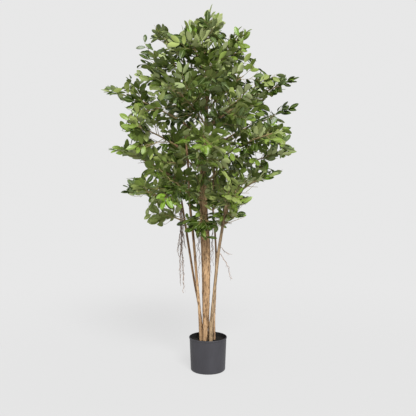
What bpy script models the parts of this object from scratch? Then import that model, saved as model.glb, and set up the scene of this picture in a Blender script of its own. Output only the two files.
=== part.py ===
"""A potted ficus made as an indoor display tree: five wooden stems set in a filled plastic pot,
short boughs that carry masses of leaves, and thin aerial roots that hang from the stems.

Metres, +Z up. The origin is the centre of the pot's flat underside, and the front is towards -Y.
Run it with: blender --background --python part.py
"""

import math
import random

import bmesh
import bpy
import numpy as np
from mathutils import Matrix, Vector

UP = Vector((0.0, 0.0, 1.0))
LEVEL = Vector((1.0, 0.0, 0.0))
NEARLY_UPRIGHT = 0.99

# Pot and filling
POT_HEIGHT = 0.173
RIM_RADIUS = 0.0955
RIM_HEIGHT = 0.006
RIM_LIP = 0.0023
FOOT_RADIUS = 0.0872
FOOT_BEVEL = 0.005
WALL = 0.003
POT_FLOOR = 0.005
FILL_DEPTH = 0.020
POT_STEPS = 40

# Clearances: between solids that meet, between the spaces of two masses, and from a limb's bark to
# the twigs and leaves of a mass
TOUCH = 0.0003
SPACE_GAP = 0.0015
TWIG_GAP = 0.004
LEAF_GAP = 0.006
LEAVES_APART = 0.009

# Each stem: places that its middle runs through, from the filling up, and its radius there
FILL_TOP = POT_HEIGHT - FILL_DEPTH
FOOT_Z = FILL_TOP + TOUCH
STEMS = {
    "trunk": (
        ((-0.0165, 0.000, FOOT_Z), 0.0135),
        ((-0.0127, 0.000, 0.235), 0.0140),
        ((-0.0102, 0.000, 0.350), 0.0184),
        ((-0.0100, 0.000, 0.480), 0.0210),
        ((-0.0125, 0.000, 0.640), 0.0226),
        ((-0.0200, 0.000, 0.780), 0.0215),
        ((-0.0265, 0.000, 0.900), 0.0195),
        ((-0.0240, 0.000, 1.030), 0.0150),
        ((-0.0100, 0.000, 1.200), 0.0110),
        ((-0.0080, 0.000, 1.420), 0.0072),
        ((-0.0140, 0.000, 1.600), 0.0046),
    ),
    "stem_left_outer": (
        ((-0.0276, 0.020, FOOT_Z), 0.0058),
        ((-0.0415, 0.023, 0.300), 0.0058),
        ((-0.0668, 0.028, 0.437), 0.0057),
        ((-0.1020, 0.034, 0.658), 0.0055),
        ((-0.1300, 0.040, 0.840), 0.0050),
        ((-0.1620, 0.048, 1.020), 0.0042),
    ),
    "stem_left_inner": (
        ((-0.0380, 0.004, FOOT_Z), 0.0068),
        ((-0.0440, -0.010, 0.320), 0.0070),
        ((-0.0577, -0.020, 0.492), 0.0067),
        ((-0.0720, -0.026, 0.675), 0.0064),
        ((-0.0900, -0.034, 0.860), 0.0060),
        ((-0.0960, -0.044, 1.020), 0.0052),
        ((-0.1090, -0.052, 1.180), 0.0043),
    ),
    "stem_right_outer": (
        ((0.0143, -0.014, FOOT_Z), 0.0103),
        ((0.0150, -0.014, 0.225), 0.0100),
        ((0.0205, -0.016, 0.290), 0.0086),
        ((0.0345, -0.020, 0.440), 0.0080),
        ((0.0520, -0.024, 0.605), 0.0077),
        ((0.0770, -0.030, 0.768), 0.0070),
        ((0.1010, -0.040, 0.924), 0.0056),
    ),
    "stem_right_inner": (
        ((0.0318, 0.012, FOOT_Z), 0.0066),
        ((0.0312, 0.013, 0.270), 0.0058),
        ((0.0362, 0.014, 0.390), 0.0053),
        ((0.0405, 0.016, 0.570), 0.0051),
        ((0.0350, 0.020, 0.700), 0.0048),
        ((0.0230, 0.026, 0.880), 0.0046),
        ((0.0400, 0.034, 1.120), 0.0040),
    ),
}
STEM_STEP = 0.070
UPRIGHT_FOOT = 0.012
TRUNK_RESOLUTION = 3
STEM_RESOLUTION = 1

# Each mass of foliage: the stem that carries it, the height of its foot there, the place of its
# furthest leaf tip, its half width, and the share of the way that is a bough, 0 where it has none
MASSES = {
    "crown_tip": ("trunk", 1.600, (0.018, 0.000, 1.788), 0.100, 0.0),
    "upper_left": ("trunk", 1.390, (-0.285, 0.030, 1.725), 0.150, 0.0),
    "upper_right": ("trunk", 1.430, (0.200, 0.010, 1.720), 0.150, 0.0),
    "front_top": ("trunk", 1.450, (-0.100, -0.180, 1.680), 0.150, 0.0),
    "back_top": ("trunk", 1.380, (0.050, 0.220, 1.670), 0.160, 0.0),
    "left_shoulder": ("trunk", 1.300, (-0.345, -0.050, 1.575), 0.170, 0.0),
    "right_shoulder": ("trunk", 1.320, (0.255, -0.080, 1.520), 0.170, 0.0),
    "left_reach": ("trunk", 1.180, (-0.525, 0.030, 1.410), 0.170, 0.20),
    "right_reach": ("trunk", 1.235, (0.455, 0.010, 1.455), 0.165, 0.20),
    "left_middle": ("stem_left_inner", 1.110, (-0.440, -0.110, 1.250), 0.175, 0.18),
    "right_middle": ("trunk", 1.110, (0.440, 0.130, 1.300), 0.165, 0.22),
    "right_fork": ("stem_right_inner", 1.060, (0.390, -0.190, 1.210), 0.165, 0.20),
    "left_long": ("stem_left_outer", 0.970, (-0.490, 0.060, 1.115), 0.165, 0.20),
    "right_long": ("stem_right_inner", 0.960, (0.440, 0.010, 1.110), 0.160, 0.22),
    "left_low": ("stem_left_outer", 0.830, (-0.435, -0.030, 0.925), 0.150, 0.18),
    "right_low": ("stem_right_outer", 0.870, (0.345, -0.030, 1.010), 0.130, 0.18),
    "left_foot": ("stem_left_outer", 0.760, (-0.325, 0.040, 0.795), 0.120, 0.0),
    "right_foot": ("stem_right_outer", 0.750, (0.170, 0.050, 0.810), 0.110, 0.0),
    "front_foot": ("trunk", 0.790, (-0.050, -0.230, 0.750), 0.130, 0.0),
    "front_left_high": ("trunk", 1.240, (-0.180, -0.370, 1.400), 0.180, 0.0),
    "front_right_high": ("trunk", 1.200, (0.180, -0.360, 1.360), 0.180, 0.0),
    "front_middle": ("trunk", 1.060, (-0.020, -0.430, 1.200), 0.185, 0.0),
    "front_left_low": ("stem_left_inner", 0.900, (-0.220, -0.340, 0.990), 0.170, 0.18),
    "front_right_low": ("stem_right_outer", 0.800, (0.150, -0.340, 0.960), 0.170, 0.18),
    "back_left_high": ("trunk", 1.220, (-0.210, 0.370, 1.380), 0.185, 0.0),
    "back_right_high": ("trunk", 1.160, (0.210, 0.370, 1.340), 0.185, 0.0),
    "back_middle": ("trunk", 1.000, (-0.010, 0.430, 1.150), 0.190, 0.0),
    "back_left_low": ("stem_left_outer", 0.890, (-0.210, 0.360, 0.970), 0.170, 0.18),
    "back_right_low": ("stem_right_inner", 0.820, (0.160, 0.350, 0.930), 0.165, 0.20),
    "heart_left": ("trunk", 1.010, (-0.280, -0.040, 1.170), 0.150, 0.0),
    "heart_right": ("trunk", 0.950, (0.220, -0.150, 1.130), 0.150, 0.0),
    "heart_front": ("trunk", 0.880, (-0.040, -0.280, 0.960), 0.150, 0.0),
    "heart_back": ("trunk", 0.860, (0.010, 0.300, 0.940), 0.150, 0.0),
    "heart_top": ("trunk", 1.340, (0.060, -0.250, 1.540), 0.150, 0.0),
    "heart_top_left": ("trunk", 1.360, (-0.240, -0.170, 1.580), 0.140, 0.0),
}
ARCH = 0.13
FLATTEN = 0.85
SPACE_OVERHANG = 1.10
SPACE_SQUARENESS = 2.5
BOUGH_RADIUS = 0.0062
JOINT_RADIUS = 0.0046
STEM_TIP_RADIUS = 0.0024
COLLAR = 0.006
BOUGH_STEPS = 2
MASS_STEM_STEPS = 4
STEM_TIP = 0.995

# Twigs of a mass. The shares say where on its stem they stand, and from which share of its own
# length a twig is kept apart from the others
TWIGS = 5
TWIG_SHARES = (0.04, 0.86)
TWIG_LENGTHS = (0.160, 0.075)
TWIG_SHRINK = 0.5
TWIG_RADIUS = 0.0026
TWIG_TIP_SHARE = 0.75
TWIG_IN_STEM = 0.65
TWIG_ANGLES = (0.65, 1.05)
TWIG_TURN = 2.4
TWIG_TURN_SPREAD = 0.6
TWIG_TRIES = 10
TWIG_FREE_FROM = 0.15

# Leaves of a mass. A leaf is measured at its stations, in columns from edge to edge
LEAF_LENGTH = 0.122
LEAF_LENGTH_SHARES = (0.85, 1.0)
LEAF_SHRINK = 0.3
TIP_LEAF_ROOM = 0.9
LEAF_WIDTH = 0.076
LEAF_THICKNESS = 0.0030
LEAF_WIDEST = 0.56
LEAF_STATIONS = (0.12, 0.23, 0.34, 0.45, LEAF_WIDEST, 0.67, 0.78, 0.89, 1.0)
LEAF_COLUMNS = 7
LEAF_FREE_FROM = 0.3
LEAF_TAKES_FROM = 0.2
LEAF_FOLD = 0.008
LEAF_SINK = 0.0004
LEAF_ANGLES = (0.70, 1.15)
TIP_LEAF_ANGLE = 0.3
LEAF_TURN_SPREAD = 1.0
LEAF_LEAN = 1.3
LEAF_TRIES = 14
LEAF_SHARES = (0.20, 0.95)
LEAVES = 13
LEAF_ROUNDS = 4
STEM_LEAF_EVERY = 3

# Each bunch of aerial roots: the stem that carries it, its height there, the side that it faces, and
# its strands, as each strand's end seen from the bunch's knot
ROOT_BUNCHES = {
    "aerial_roots_left": (
        "stem_left_outer", 0.735, (-0.7, -0.7),
        ((-0.022, 0.006, -0.318), (-0.004, -0.008, -0.355), (-0.034, 0.010, -0.165), (0.008, -0.020, -0.120)),
    ),
    "aerial_roots_middle": (
        "trunk", 0.735, (-0.85, -0.5),
        ((-0.014, -0.006, -0.165), (0.000, -0.010, -0.305), (-0.006, 0.006, -0.230)),
    ),
    "aerial_roots_inner_right": (
        "stem_right_inner", 0.725, (-0.8, 0.6),
        ((-0.004, 0.008, -0.160), (-0.009, 0.014, -0.265), (0.001, 0.020, -0.215)),
    ),
    "aerial_roots_right": (
        "stem_right_outer", 0.600, (0.95, -0.3),
        ((0.066, -0.010, -0.142), (0.058, 0.008, -0.004)),
    ),
}
ROOT_RADII = (0.0018, 0.0012)
KNOT_RADII = (0.0036, 0.0029)
KNOT_LENGTH = 0.0065
ROOT_HEAD = 0.0039
ROOT_BEND_SHARE = 0.35
ROOT_BEND_OUT = 0.012
ROOT_WAVE = 0.004
ROOT_WAVE_RATES = (9.0, 7.0)
ROOT_STEPS = 6

# Colours, as linear red, green and blue, with roughness
MATERIALS = {
    "pot_plastic": ((0.070, 0.068, 0.078), 0.55),
    "pot_filling": ((0.012, 0.011, 0.009), 0.95),
    "stem_wood": ((0.400, 0.265, 0.150), 0.80),
    "aerial_root": ((0.270, 0.190, 0.160), 0.90),
    "foliage": ((0.075, 0.125, 0.035), 0.50),
}


def clear_scene():
    for obj in list(bpy.data.objects):
        bpy.data.objects.remove(obj)


def new_collection(name):
    collection = bpy.data.collections.new(name)
    bpy.context.scene.collection.children.link(collection)
    return collection


def new_material(name):
    color, roughness = MATERIALS[name]
    material = bpy.data.materials.new(name)
    material.use_nodes = True
    shader = material.node_tree.nodes["Principled BSDF"]
    shader.inputs["Base Color"].default_value = (*color, 1.0)
    shader.inputs["Roughness"].default_value = roughness
    shader.inputs["Metallic"].default_value = 0.0
    return material


def add_object(name, data, collection, material):
    obj = bpy.data.objects.new(name, data)
    collection.objects.link(obj)
    data.materials.append(material)
    return obj


def turned(name, profile, collection, material):
    """A solid of revolution about Z, from its profile, which runs down the outer side."""
    mesh = bpy.data.meshes.new(name)
    points = [(radius, 0.0, height) for radius, height in profile]
    mesh.from_pydata(points, [(i, i + 1) for i in range(len(points) - 1)], [])
    obj = add_object(name, mesh, collection, material)
    screw = obj.modifiers.new("Turn", "SCREW")
    screw.axis = "Z"
    screw.angle = math.tau
    screw.steps = POT_STEPS
    screw.render_steps = POT_STEPS
    screw.use_merge_vertices = True
    screw.merge_threshold = 0.0001
    return obj


def tube(name, limb, resolution, collection, material):
    """A tapering limb along a route, with filled flat ends."""
    curve = bpy.data.curves.new(name, "CURVE")
    curve.dimensions = "3D"
    curve.bevel_depth = 1.0
    curve.bevel_resolution = resolution
    curve.use_fill_caps = True
    spline = curve.splines.new("POLY")
    route, radii = limb
    spline.points.add(len(route) - 1)
    for point, place, radius in zip(spline.points, route, radii):
        point.co = (*place, 1.0)
        point.radius = radius
    return add_object(name, curve, collection, material)


def as_mesh(curve_object, collection):
    """The mesh object that takes a curve object's place, with its caps welded on."""
    bpy.context.view_layer.update()
    graph = bpy.context.evaluated_depsgraph_get()
    mesh = bpy.data.meshes.new_from_object(curve_object.evaluated_get(graph))
    work = bmesh.new()
    work.from_mesh(mesh)
    bmesh.ops.remove_doubles(work, verts=work.verts, dist=1e-6)
    work.to_mesh(mesh)
    work.free()
    name, place = curve_object.name, curve_object.matrix_world.copy()
    bpy.data.objects.remove(curve_object)
    made = bpy.data.objects.new(name, mesh)
    made.matrix_world = place
    collection.objects.link(made)
    return made


def smooth_route(knots, step):
    """A smooth route through the knots, with points about a step apart, and the radii along it."""
    places = [Vector(place) for place, _ in knots]
    radii = [radius for _, radius in knots]
    route, along = [], []
    last = len(places) - 1
    for i in range(last):
        before, a = places[max(i - 1, 0)], places[i]
        b, after = places[i + 1], places[min(i + 2, last)]
        count = max(1, round((b - a).length / step))
        for k in range(count):
            t = k / count
            route.append(
                0.5 * (2 * a + (b - before) * t + (2 * before - 5 * a + 4 * b - after) * t**2
                       + (3 * a - 3 * b + after - before) * t**3)
            )
            along.append(radii[i] + (radii[i + 1] - radii[i]) * t)
    return route + [places[last]], along + [radii[last]]


def stem_limbs():
    """The route and radii of each stem. The first stretch is upright, so that its foot is level."""
    limbs = {}
    for name, knots in STEMS.items():
        route, radii = smooth_route(knots, STEM_STEP)
        rise = route[0] + UP * UPRIGHT_FOOT
        limbs[name] = (route[:1] + [rise] + route[1:], radii[:1] + radii)
    return limbs


def at_height(limb, height):
    """The middle, direction and radius of a stem at a height, or of its tip."""
    route, radii = limb
    for a, b, ra, rb in zip(route, route[1:], radii, radii[1:]):
        if a.z <= height < b.z:
            t = (height - a.z) / (b.z - a.z)
            return a.lerp(b, t), (b - a).normalized(), ra + (rb - ra) * t
    return route[-1], (route[-1] - route[-2]).normalized(), radii[-1]


def tapered(points, first, final):
    """A limb along the points, with a radius that falls evenly from the first to the final."""
    lengths = [0.0]
    for a, b in zip(points, points[1:]):
        lengths.append(lengths[-1] + (b - a).length)
    return points, [first + (final - first) * length / lengths[-1] for length in lengths]


def level_side(direction):
    """The level direction square to a direction, or a fixed one where that is nearly upright."""
    return LEVEL if abs(direction.z) > NEARLY_UPRIGHT else UP.cross(direction).normalized()


def bezier(a, b, c, t):
    return a * (1 - t) ** 2 + b * 2 * t * (1 - t) + c * t**2


def bezier_direction(a, b, c, t):
    return ((b - a) * (1 - t) + (c - b) * t).normalized()


def mass_limbs(mass, stems):
    """A mass's bough, or None, and its own stem. What starts in a stem is later cut clear of it."""
    carrier, height, reach, _, share = MASSES[mass]
    reach = Vector(reach)
    middle, along, radius = at_height(stems[carrier], height)
    if middle == stems[carrier][0][-1]:
        rooted = []
        start = middle + along * TOUCH
    else:
        facing = reach - middle
        out = (facing - along * facing.dot(along)).normalized()
        rooted = [middle]
        start = middle + out * (radius + COLLAR)
    bend = start.lerp(reach, 0.5) + UP * (ARCH * (reach - start).length)
    leafless = 1.0 - TIP_LEAF_ROOM * LEAF_LENGTH / (reach - start).length

    def stretch(first, final, steps):
        return [bezier(start, bend, reach, first + (final - first) * k / steps) for k in range(steps + 1)]

    if not share:
        points = rooted + stretch(0.0, leafless, MASS_STEM_STEPS)
        return None, tapered(points, JOINT_RADIUS, STEM_TIP_RADIUS)
    joint = bezier(start, bend, reach, share)
    onward = bezier_direction(start, bend, reach, share)
    bough = rooted + stretch(0.0, share, BOUGH_STEPS)[:-1] + [joint - onward * JOINT_RADIUS, joint]
    stem = [joint + onward * TOUCH, joint + onward * JOINT_RADIUS]
    stem += stretch(share, leafless, MASS_STEM_STEPS)[1:]
    return tapered(bough, BOUGH_RADIUS, JOINT_RADIUS), tapered(stem, JOINT_RADIUS, STEM_TIP_RADIUS)


class Space:
    """The room of one mass: a blunt ellipsoid from its carrier's middle to its reach, cut off by a
    plane towards each neighbour.
    """

    def __init__(self, mass, stems):
        carrier, height, reach, half_width, _ = MASSES[mass]
        first, reach = at_height(stems[carrier], height)[0], Vector(reach)
        along = (reach - first).normalized()
        side = level_side(along)
        self.centre = first.lerp(reach, 0.5)
        self.axes = (along, side, along.cross(side))
        self.halves = ((reach - first).length / 2 * SPACE_OVERHANG, half_width, half_width * FLATTEN)
        self.normals, self.limits = [], []

    def support(self, normal):
        """How far the ellipsoid reaches from its centre along a direction."""
        power = SPACE_SQUARENESS / (SPACE_SQUARENESS - 1)
        parts = (abs(half * axis.dot(normal)) ** power for axis, half in zip(self.axes, self.halves))
        return sum(parts) ** (1 / power)

    def face(self, other):
        """Adds the plane that parts this space from another one, between the two by their sizes."""
        between = other.centre - self.centre
        normal = between.normalized()
        mine, theirs = self.support(normal), other.support(normal)
        limit = self.centre.dot(normal) + between.length * mine / (mine + theirs)
        self.normals.append(normal)
        self.limits.append(limit - SPACE_GAP / 2)

    def holds(self, places):
        shares = np.abs((places - np.array(self.centre)) @ np.array(self.axes).T) / self.halves
        inside = (shares**SPACE_SQUARENESS).sum(1) <= 1.0
        short = (places @ np.array(self.normals).T <= self.limits).all(1)
        return bool((inside & short).all())


def mass_spaces(stems):
    spaces = {mass: Space(mass, stems) for mass in MASSES}
    for mass, space in spaces.items():
        for other, neighbour in spaces.items():
            if other != mass:
                space.face(neighbour)
    return spaces


class Bark:
    """The straight stretches of every limb, to tell whether a twig or a leaf keeps clear of them."""

    def __init__(self, limbs):
        rows = []
        for owner, (points, radii) in limbs.items():
            for a, b, ra, rb in zip(points, points[1:], radii, radii[1:]):
                rows.append((owner, *a, *b, max(ra, rb)))
        numbers = np.array([row[1:] for row in rows])
        self.owners = np.array([row[0] for row in rows])
        self.first = numbers[:, 0:3]
        self.step = numbers[:, 3:6] - numbers[:, 0:3]
        self.radius = numbers[:, 6]

    def clear(self, places, gap, owner):
        """True if every place keeps the gap from all bark but the owner's."""
        others = self.owners != owner
        step = self.step[others]
        offset = places[:, None, :] - self.first[others]
        t = np.clip((offset * step).sum(2) / (step * step).sum(1), 0.0, 1.0)
        apart = np.linalg.norm(offset - t[:, :, None] * step, axis=2)
        return bool((apart > self.radius[others] + gap).all())


def along_limb(limb, share):
    """The place, direction and radius at a share of a limb's length."""
    points, radii = limb
    lengths = [(b - a).length for a, b in zip(points, points[1:])]
    left = share * sum(lengths)
    for a, b, ra, rb, length in zip(points, points[1:], radii, radii[1:], lengths):
        if left <= length:
            break
        left -= length
    t = min(left / length, 1.0)
    return a.lerp(b, t), (b - a).normalized(), ra + (rb - ra) * t


def sprout(direction, angle, turn):
    """The direction that leaves another one by an angle, turned about it from its level side."""
    side = level_side(direction)
    over = direction.cross(side)
    away = side * math.cos(turn) + over * math.sin(turn)
    return (direction * math.cos(angle) + away * math.sin(angle)).normalized()


def leaf_places(leaf, first=0.0):
    """Places over a leaf, from a share of its length on, so close together that no limb fits between."""
    foot, direction, side, face, length = leaf
    half_width = LEAF_WIDTH * length / LEAF_LENGTH / 2
    along = np.array([share for share in LEAF_STATIONS if share >= first])
    full = np.minimum(along / LEAF_WIDEST, (1 - along) / (1 - LEAF_WIDEST))
    across = np.linspace(-1.0, 1.0, LEAF_COLUMNS)[:, None] * full
    places = np.array(direction) * (along * length)[None, :, None]
    places = places + np.array(side) * (across * half_width)[:, :, None]
    places = places + np.array(face) * (np.abs(across) * LEAF_FOLD)[:, :, None]
    return np.array(foot) + places.reshape(-1, 3)


def line_places(a, b, first=0.0):
    """Places along a straight line, from a share of its length on, as close together as a leaf's."""
    shares = np.linspace(first, 1.0, math.ceil((b - a).length * (1 - first) / LEAVES_APART) + 1)
    return np.array(a) + shares[:, None] * np.array(b - a)


def apart(places, others):
    gaps = places[:, None, :] - others
    return bool((gaps**2).sum(2).min() > LEAVES_APART**2)


def grow(mass, stem, space, bark):
    """The twigs of a mass, as (foot, tip, radius), and its leaves, as (foot, direction, side, face,
    length), by its seeded rule: what would leave its space or touch a limb is tried again or skipped.
    """
    draw = random.Random(mass)
    twigs, leaves = [], []
    if not MASSES[mass][4]:
        stem = (stem[0][1:], stem[1][1:])
    taken = [line_places(a, b) for a, b in zip(stem[0], stem[0][1:])]

    def fits(places, gap):
        return space.holds(places) and bark.clear(places, gap, mass)

    def add_leaf(place, direction, angle, turn):
        for k in range(LEAF_TRIES):
            spread = draw.uniform(-LEAF_TURN_SPREAD, LEAF_TURN_SPREAD)
            heading = sprout(direction, angle, turn + spread)
            side = Matrix.Rotation(draw.uniform(-LEAF_LEAN, LEAF_LEAN), 3, heading) @ level_side(heading)
            shrunk = 1.0 - LEAF_SHRINK * k / LEAF_TRIES
            length = LEAF_LENGTH * draw.uniform(*LEAF_LENGTH_SHARES) * shrunk
            leaf = (place - heading * LEAF_SINK, heading, side, heading.cross(side), length)
            free = leaf_places(leaf, LEAF_FREE_FROM)
            if fits(leaf_places(leaf), LEAF_GAP) and apart(free, np.vstack(taken)):
                leaves.append(leaf)
                taken.append(leaf_places(leaf, LEAF_TAKES_FROM))
                return

    def add_twig(share, turn):
        foot, direction, radius = along_limb(stem, share)
        full = TWIG_LENGTHS[0] + (TWIG_LENGTHS[1] - TWIG_LENGTHS[0]) * share
        for k in range(TWIG_TRIES):
            angle = draw.uniform(*TWIG_ANGLES)
            heading = sprout(direction, angle, turn + draw.uniform(-TWIG_TURN_SPREAD, TWIG_TURN_SPREAD))
            tip = foot + heading * full * (1.0 - TWIG_SHRINK * k / TWIG_TRIES)
            places = line_places(foot, tip, TWIG_FREE_FROM)
            if fits(places, TWIG_GAP) and apart(places[2:], np.vstack(taken)):
                twigs.append((foot, tip, min(TWIG_RADIUS, radius * TWIG_IN_STEM)))
                taken.append(places)
                return

    first_turn = draw.uniform(0.0, math.tau)
    lowest, highest = TWIG_SHARES
    for k in range(TWIGS):
        add_twig(lowest + (highest - lowest) * k / (TWIGS - 1), first_turn + k * TWIG_TURN)
    tip, direction, _ = along_limb(stem, STEM_TIP)
    add_leaf(tip, direction, 0.0, 0.0)
    for foot, tip, _ in twigs:
        heading = (tip - foot).normalized()
        add_leaf(tip - heading * LEAF_SINK, heading, draw.uniform(0.0, TIP_LEAF_ANGLE), 0.0)
    for k in range(LEAF_ROUNDS * LEAVES):
        if len(leaves) >= LEAVES:
            break
        share = draw.uniform(*LEAF_SHARES)
        if k % STEM_LEAF_EVERY:
            foot, tip, _ = twigs[k % len(twigs)]
            heading, place = (tip - foot).normalized(), foot.lerp(tip, share)
        else:
            place, heading, _ = along_limb(stem, share)
        add_leaf(place, heading, draw.uniform(*LEAF_ANGLES), math.pi * (k % 2))
    return twigs, leaves


def twig_object(foot, tip, radius):
    """A straight three-sided twig."""
    mesh = bpy.data.meshes.new("twig")
    work = bmesh.new()
    turn = (tip - foot).to_track_quat("Z", "Y").to_matrix().to_4x4()
    bmesh.ops.create_cone(
        work,
        cap_ends=True,
        segments=3,
        radius1=radius,
        radius2=radius * TWIG_TIP_SHARE,
        depth=(tip - foot).length,
        matrix=Matrix.Translation(foot.lerp(tip, 0.5)) @ turn,
    )
    work.to_mesh(mesh)
    work.free()
    return bpy.data.objects.new("twig", mesh)


def leaf_object(foot, direction, side, face, length):
    """A leaf of eight faces: a low octahedron from its foot to its tip, folded along its midrib."""
    mesh = bpy.data.meshes.new("leaf")
    work = bmesh.new()
    bmesh.ops.create_uvsphere(work, u_segments=4, v_segments=2, radius=1.0)
    half_width = LEAF_WIDTH * length / LEAF_LENGTH / 2
    for vert in work.verts:
        across, up, along = vert.co
        forward = length * (LEAF_WIDEST if abs(along) < 0.5 else (along + 1) / 2)
        raised = up * LEAF_THICKNESS / 2 + abs(across) * LEAF_FOLD
        vert.co = foot + direction * forward + side * (across * half_width) + face * raised
    work.to_mesh(mesh)
    work.free()
    return bpy.data.objects.new("leaf", mesh)


def shells_of(work):
    """The faces of each closed surface of a mesh."""
    left, shells = set(work.faces), []
    while left:
        waiting, shell = [left.pop()], []
        while waiting:
            face = waiting.pop()
            shell.append(face)
            near = {other for edge in face.edges for other in edge.link_faces} & left
            left -= near
            waiting.extend(near)
        shells.append(shell)
    return shells


def volume_of(shell):
    corners = [[vert.co for vert in face.verts] for face in shell]
    return sum(a.dot(b.cross(c)) / 6 for a, b, c in corners)


def keep_one_body(mesh):
    """Fills sealed hollows and drops loose scraps: only the largest closed surface stays."""
    work = bmesh.new()
    work.from_mesh(mesh)
    bmesh.ops.triangulate(work, faces=work.faces)
    shells = sorted(shells_of(work), key=volume_of)
    for shell in shells[:-1]:
        bmesh.ops.delete(work, geom=shell, context="FACES")
    work.to_mesh(mesh)
    work.free()


def applied(obj):
    """The mesh of an object with its modifiers applied."""
    bpy.context.view_layer.update()
    graph = bpy.context.evaluated_depsgraph_get()
    return bpy.data.meshes.new_from_object(obj.evaluated_get(graph))


def fuse(name, pieces, collection, material):
    """One closed solid from mesh objects that overlap: the first takes the union with the others."""
    body, others = pieces[0], pieces[1:]
    joined = new_collection(name + "_pieces")
    for piece in others:
        joined.objects.link(piece)
    union = body.modifiers.new("Join", "BOOLEAN")
    union.operation = "UNION"
    union.operand_type = "COLLECTION"
    union.collection = joined
    union.solver = "MANIFOLD"
    mesh = applied(body)
    for piece in pieces:
        bpy.data.objects.remove(piece)
    bpy.data.collections.remove(joined)
    keep_one_body(mesh)
    mesh.materials.clear()
    return add_object(name, mesh, collection, material)


def cut_clear(obj, sleeve):
    """Cuts away what lies inside a stem's sleeve, so that the foot meets the bark a touch clear."""
    cut = obj.modifiers.new("Seat", "BOOLEAN")
    cut.operation = "DIFFERENCE"
    cut.object = sleeve
    cut.solver = "EXACT"


def build_pot(collection, materials):
    inner_foot, inner_rim = FOOT_RADIUS - WALL, RIM_RADIUS - RIM_LIP - WALL
    neck = POT_HEIGHT - RIM_HEIGHT
    profile = (
        (0.0, POT_FLOOR),
        (inner_foot, POT_FLOOR),
        (inner_rim, POT_HEIGHT),
        (RIM_RADIUS, POT_HEIGHT),
        (RIM_RADIUS, neck),
        (RIM_RADIUS - RIM_LIP, neck - RIM_LIP),
        (FOOT_RADIUS, FOOT_BEVEL),
        (FOOT_RADIUS - FOOT_BEVEL, 0.0),
        (0.0, 0.0),
    )
    turned("pot", profile, collection, materials["pot_plastic"])
    slope = (inner_rim - inner_foot) / (POT_HEIGHT - POT_FLOOR)
    filling = (
        (0.0, FILL_TOP),
        (inner_foot + slope * (FILL_TOP - POT_FLOOR) - TOUCH, FILL_TOP),
        (inner_foot - TOUCH, POT_FLOOR + TOUCH),
        (0.0, POT_FLOOR + TOUCH),
    )
    turned("pot_filling", filling, collection, materials["pot_filling"])


def build_stems(stems, collection, cutters, material):
    """The stems, and round each one the sleeve that seats what grows on it."""
    sleeves = {}
    for name, (route, radii) in stems.items():
        resolution = TRUNK_RESOLUTION if name == "trunk" else STEM_RESOLUTION
        tube(name, (route, radii), resolution, collection, material)
        wider = (route, [radius + TOUCH for radius in radii])
        sleeve = as_mesh(tube("sleeve_" + name, wider, resolution, cutters, material), cutters)
        sleeve.hide_render = True
        sleeve.display_type = "WIRE"
        sleeves[name] = sleeve
    return sleeves


def root_limbs(stems):
    """The knot and the strands of each bunch of aerial roots."""
    bunches = {}
    for name, (carrier, height, facing, ends) in ROOT_BUNCHES.items():
        draw = random.Random(name)
        middle, along, radius = at_height(stems[carrier], height)
        out = Vector((*facing, 0.0))
        out = (out - along * out.dot(along)).normalized()
        head = middle + out * (radius + ROOT_HEAD)
        knot = tapered([middle, middle + out * (radius + KNOT_LENGTH)], *KNOT_RADII)
        strands = []
        for end in ends:
            end = head + Vector(end)
            bend = head.lerp(end, ROOT_BEND_SHARE) + out * ROOT_BEND_OUT
            phase = draw.uniform(0.0, math.tau)
            route = []
            for k in range(ROOT_STEPS + 1):
                t = k / ROOT_STEPS
                turn_x, turn_y = (phase + rate * t for rate in ROOT_WAVE_RATES)
                sway = Vector((math.sin(turn_x), math.cos(turn_y), 0.0)) * (ROOT_WAVE * t)
                route.append(bezier(head, bend, end, t) + sway)
            strands.append(tapered(route, *ROOT_RADII))
        bunches[name] = (knot, strands)
    return bunches


def build_roots(bunches, sleeves, collection, material):
    for name, (knot, strands) in bunches.items():
        body = as_mesh(tube(name + "_knot", knot, 1, collection, material), collection)
        cut_clear(body, sleeves[ROOT_BUNCHES[name][0]])
        pieces = [body]
        for strand in strands:
            pieces.append(as_mesh(tube("strand", strand, 0, collection, material), collection))
        fuse(name, pieces, collection, material)


def build_mass(mass, stem, grown, sleeves, collection, material):
    body = as_mesh(tube(mass + "_stem", stem, 0, collection, material), collection)
    if not MASSES[mass][4]:
        cut_clear(body, sleeves[MASSES[mass][0]])
    twigs, leaves = grown
    pieces = [body] + [twig_object(*twig) for twig in twigs] + [leaf_object(*leaf) for leaf in leaves]
    fuse(mass, pieces, collection, material)


def main():
    clear_scene()
    plant = new_collection("potted_ficus")
    cutters = new_collection("cutters")
    materials = {name: new_material(name) for name in MATERIALS}
    wood = materials["stem_wood"]
    build_pot(plant, materials)

    stems = stem_limbs()
    sleeves = build_stems(stems, plant, cutters, wood)
    limbs = dict(stems)
    mass_stems = {}
    for mass in MASSES:
        bough, mass_stems[mass] = mass_limbs(mass, stems)
        limbs[mass] = mass_stems[mass]
        if bough:
            name = "bough_" + mass
            limbs[name] = bough
            cut_clear(as_mesh(tube(name, bough, 1, plant, wood), plant), sleeves[MASSES[mass][0]])

    bunches = root_limbs(stems)
    build_roots(bunches, sleeves, plant, materials["aerial_root"])
    for name, (_, strands) in bunches.items():
        for i, strand in enumerate(strands):
            limbs[f"{name}_{i}"] = strand

    spaces = mass_spaces(stems)
    bark = Bark(limbs)
    for mass, stem in mass_stems.items():
        grown = grow(mass, stem, spaces[mass], bark)
        build_mass(mass, stem, grown, sleeves, plant, materials["foliage"])


if __name__ == "__main__":
    main()
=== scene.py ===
"""The looks of a potted ficus made as an indoor display tree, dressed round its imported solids.

Metres, +Z up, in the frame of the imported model: the origin is the centre of the pot's flat underside
and the front is towards -Y. Stems, boughs and twigs grow by the same seeded rule as the solids, which
is then carried on to fine sprays with leaves at their real size.
"""

import math
import random
from itertools import accumulate, permutations

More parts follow.
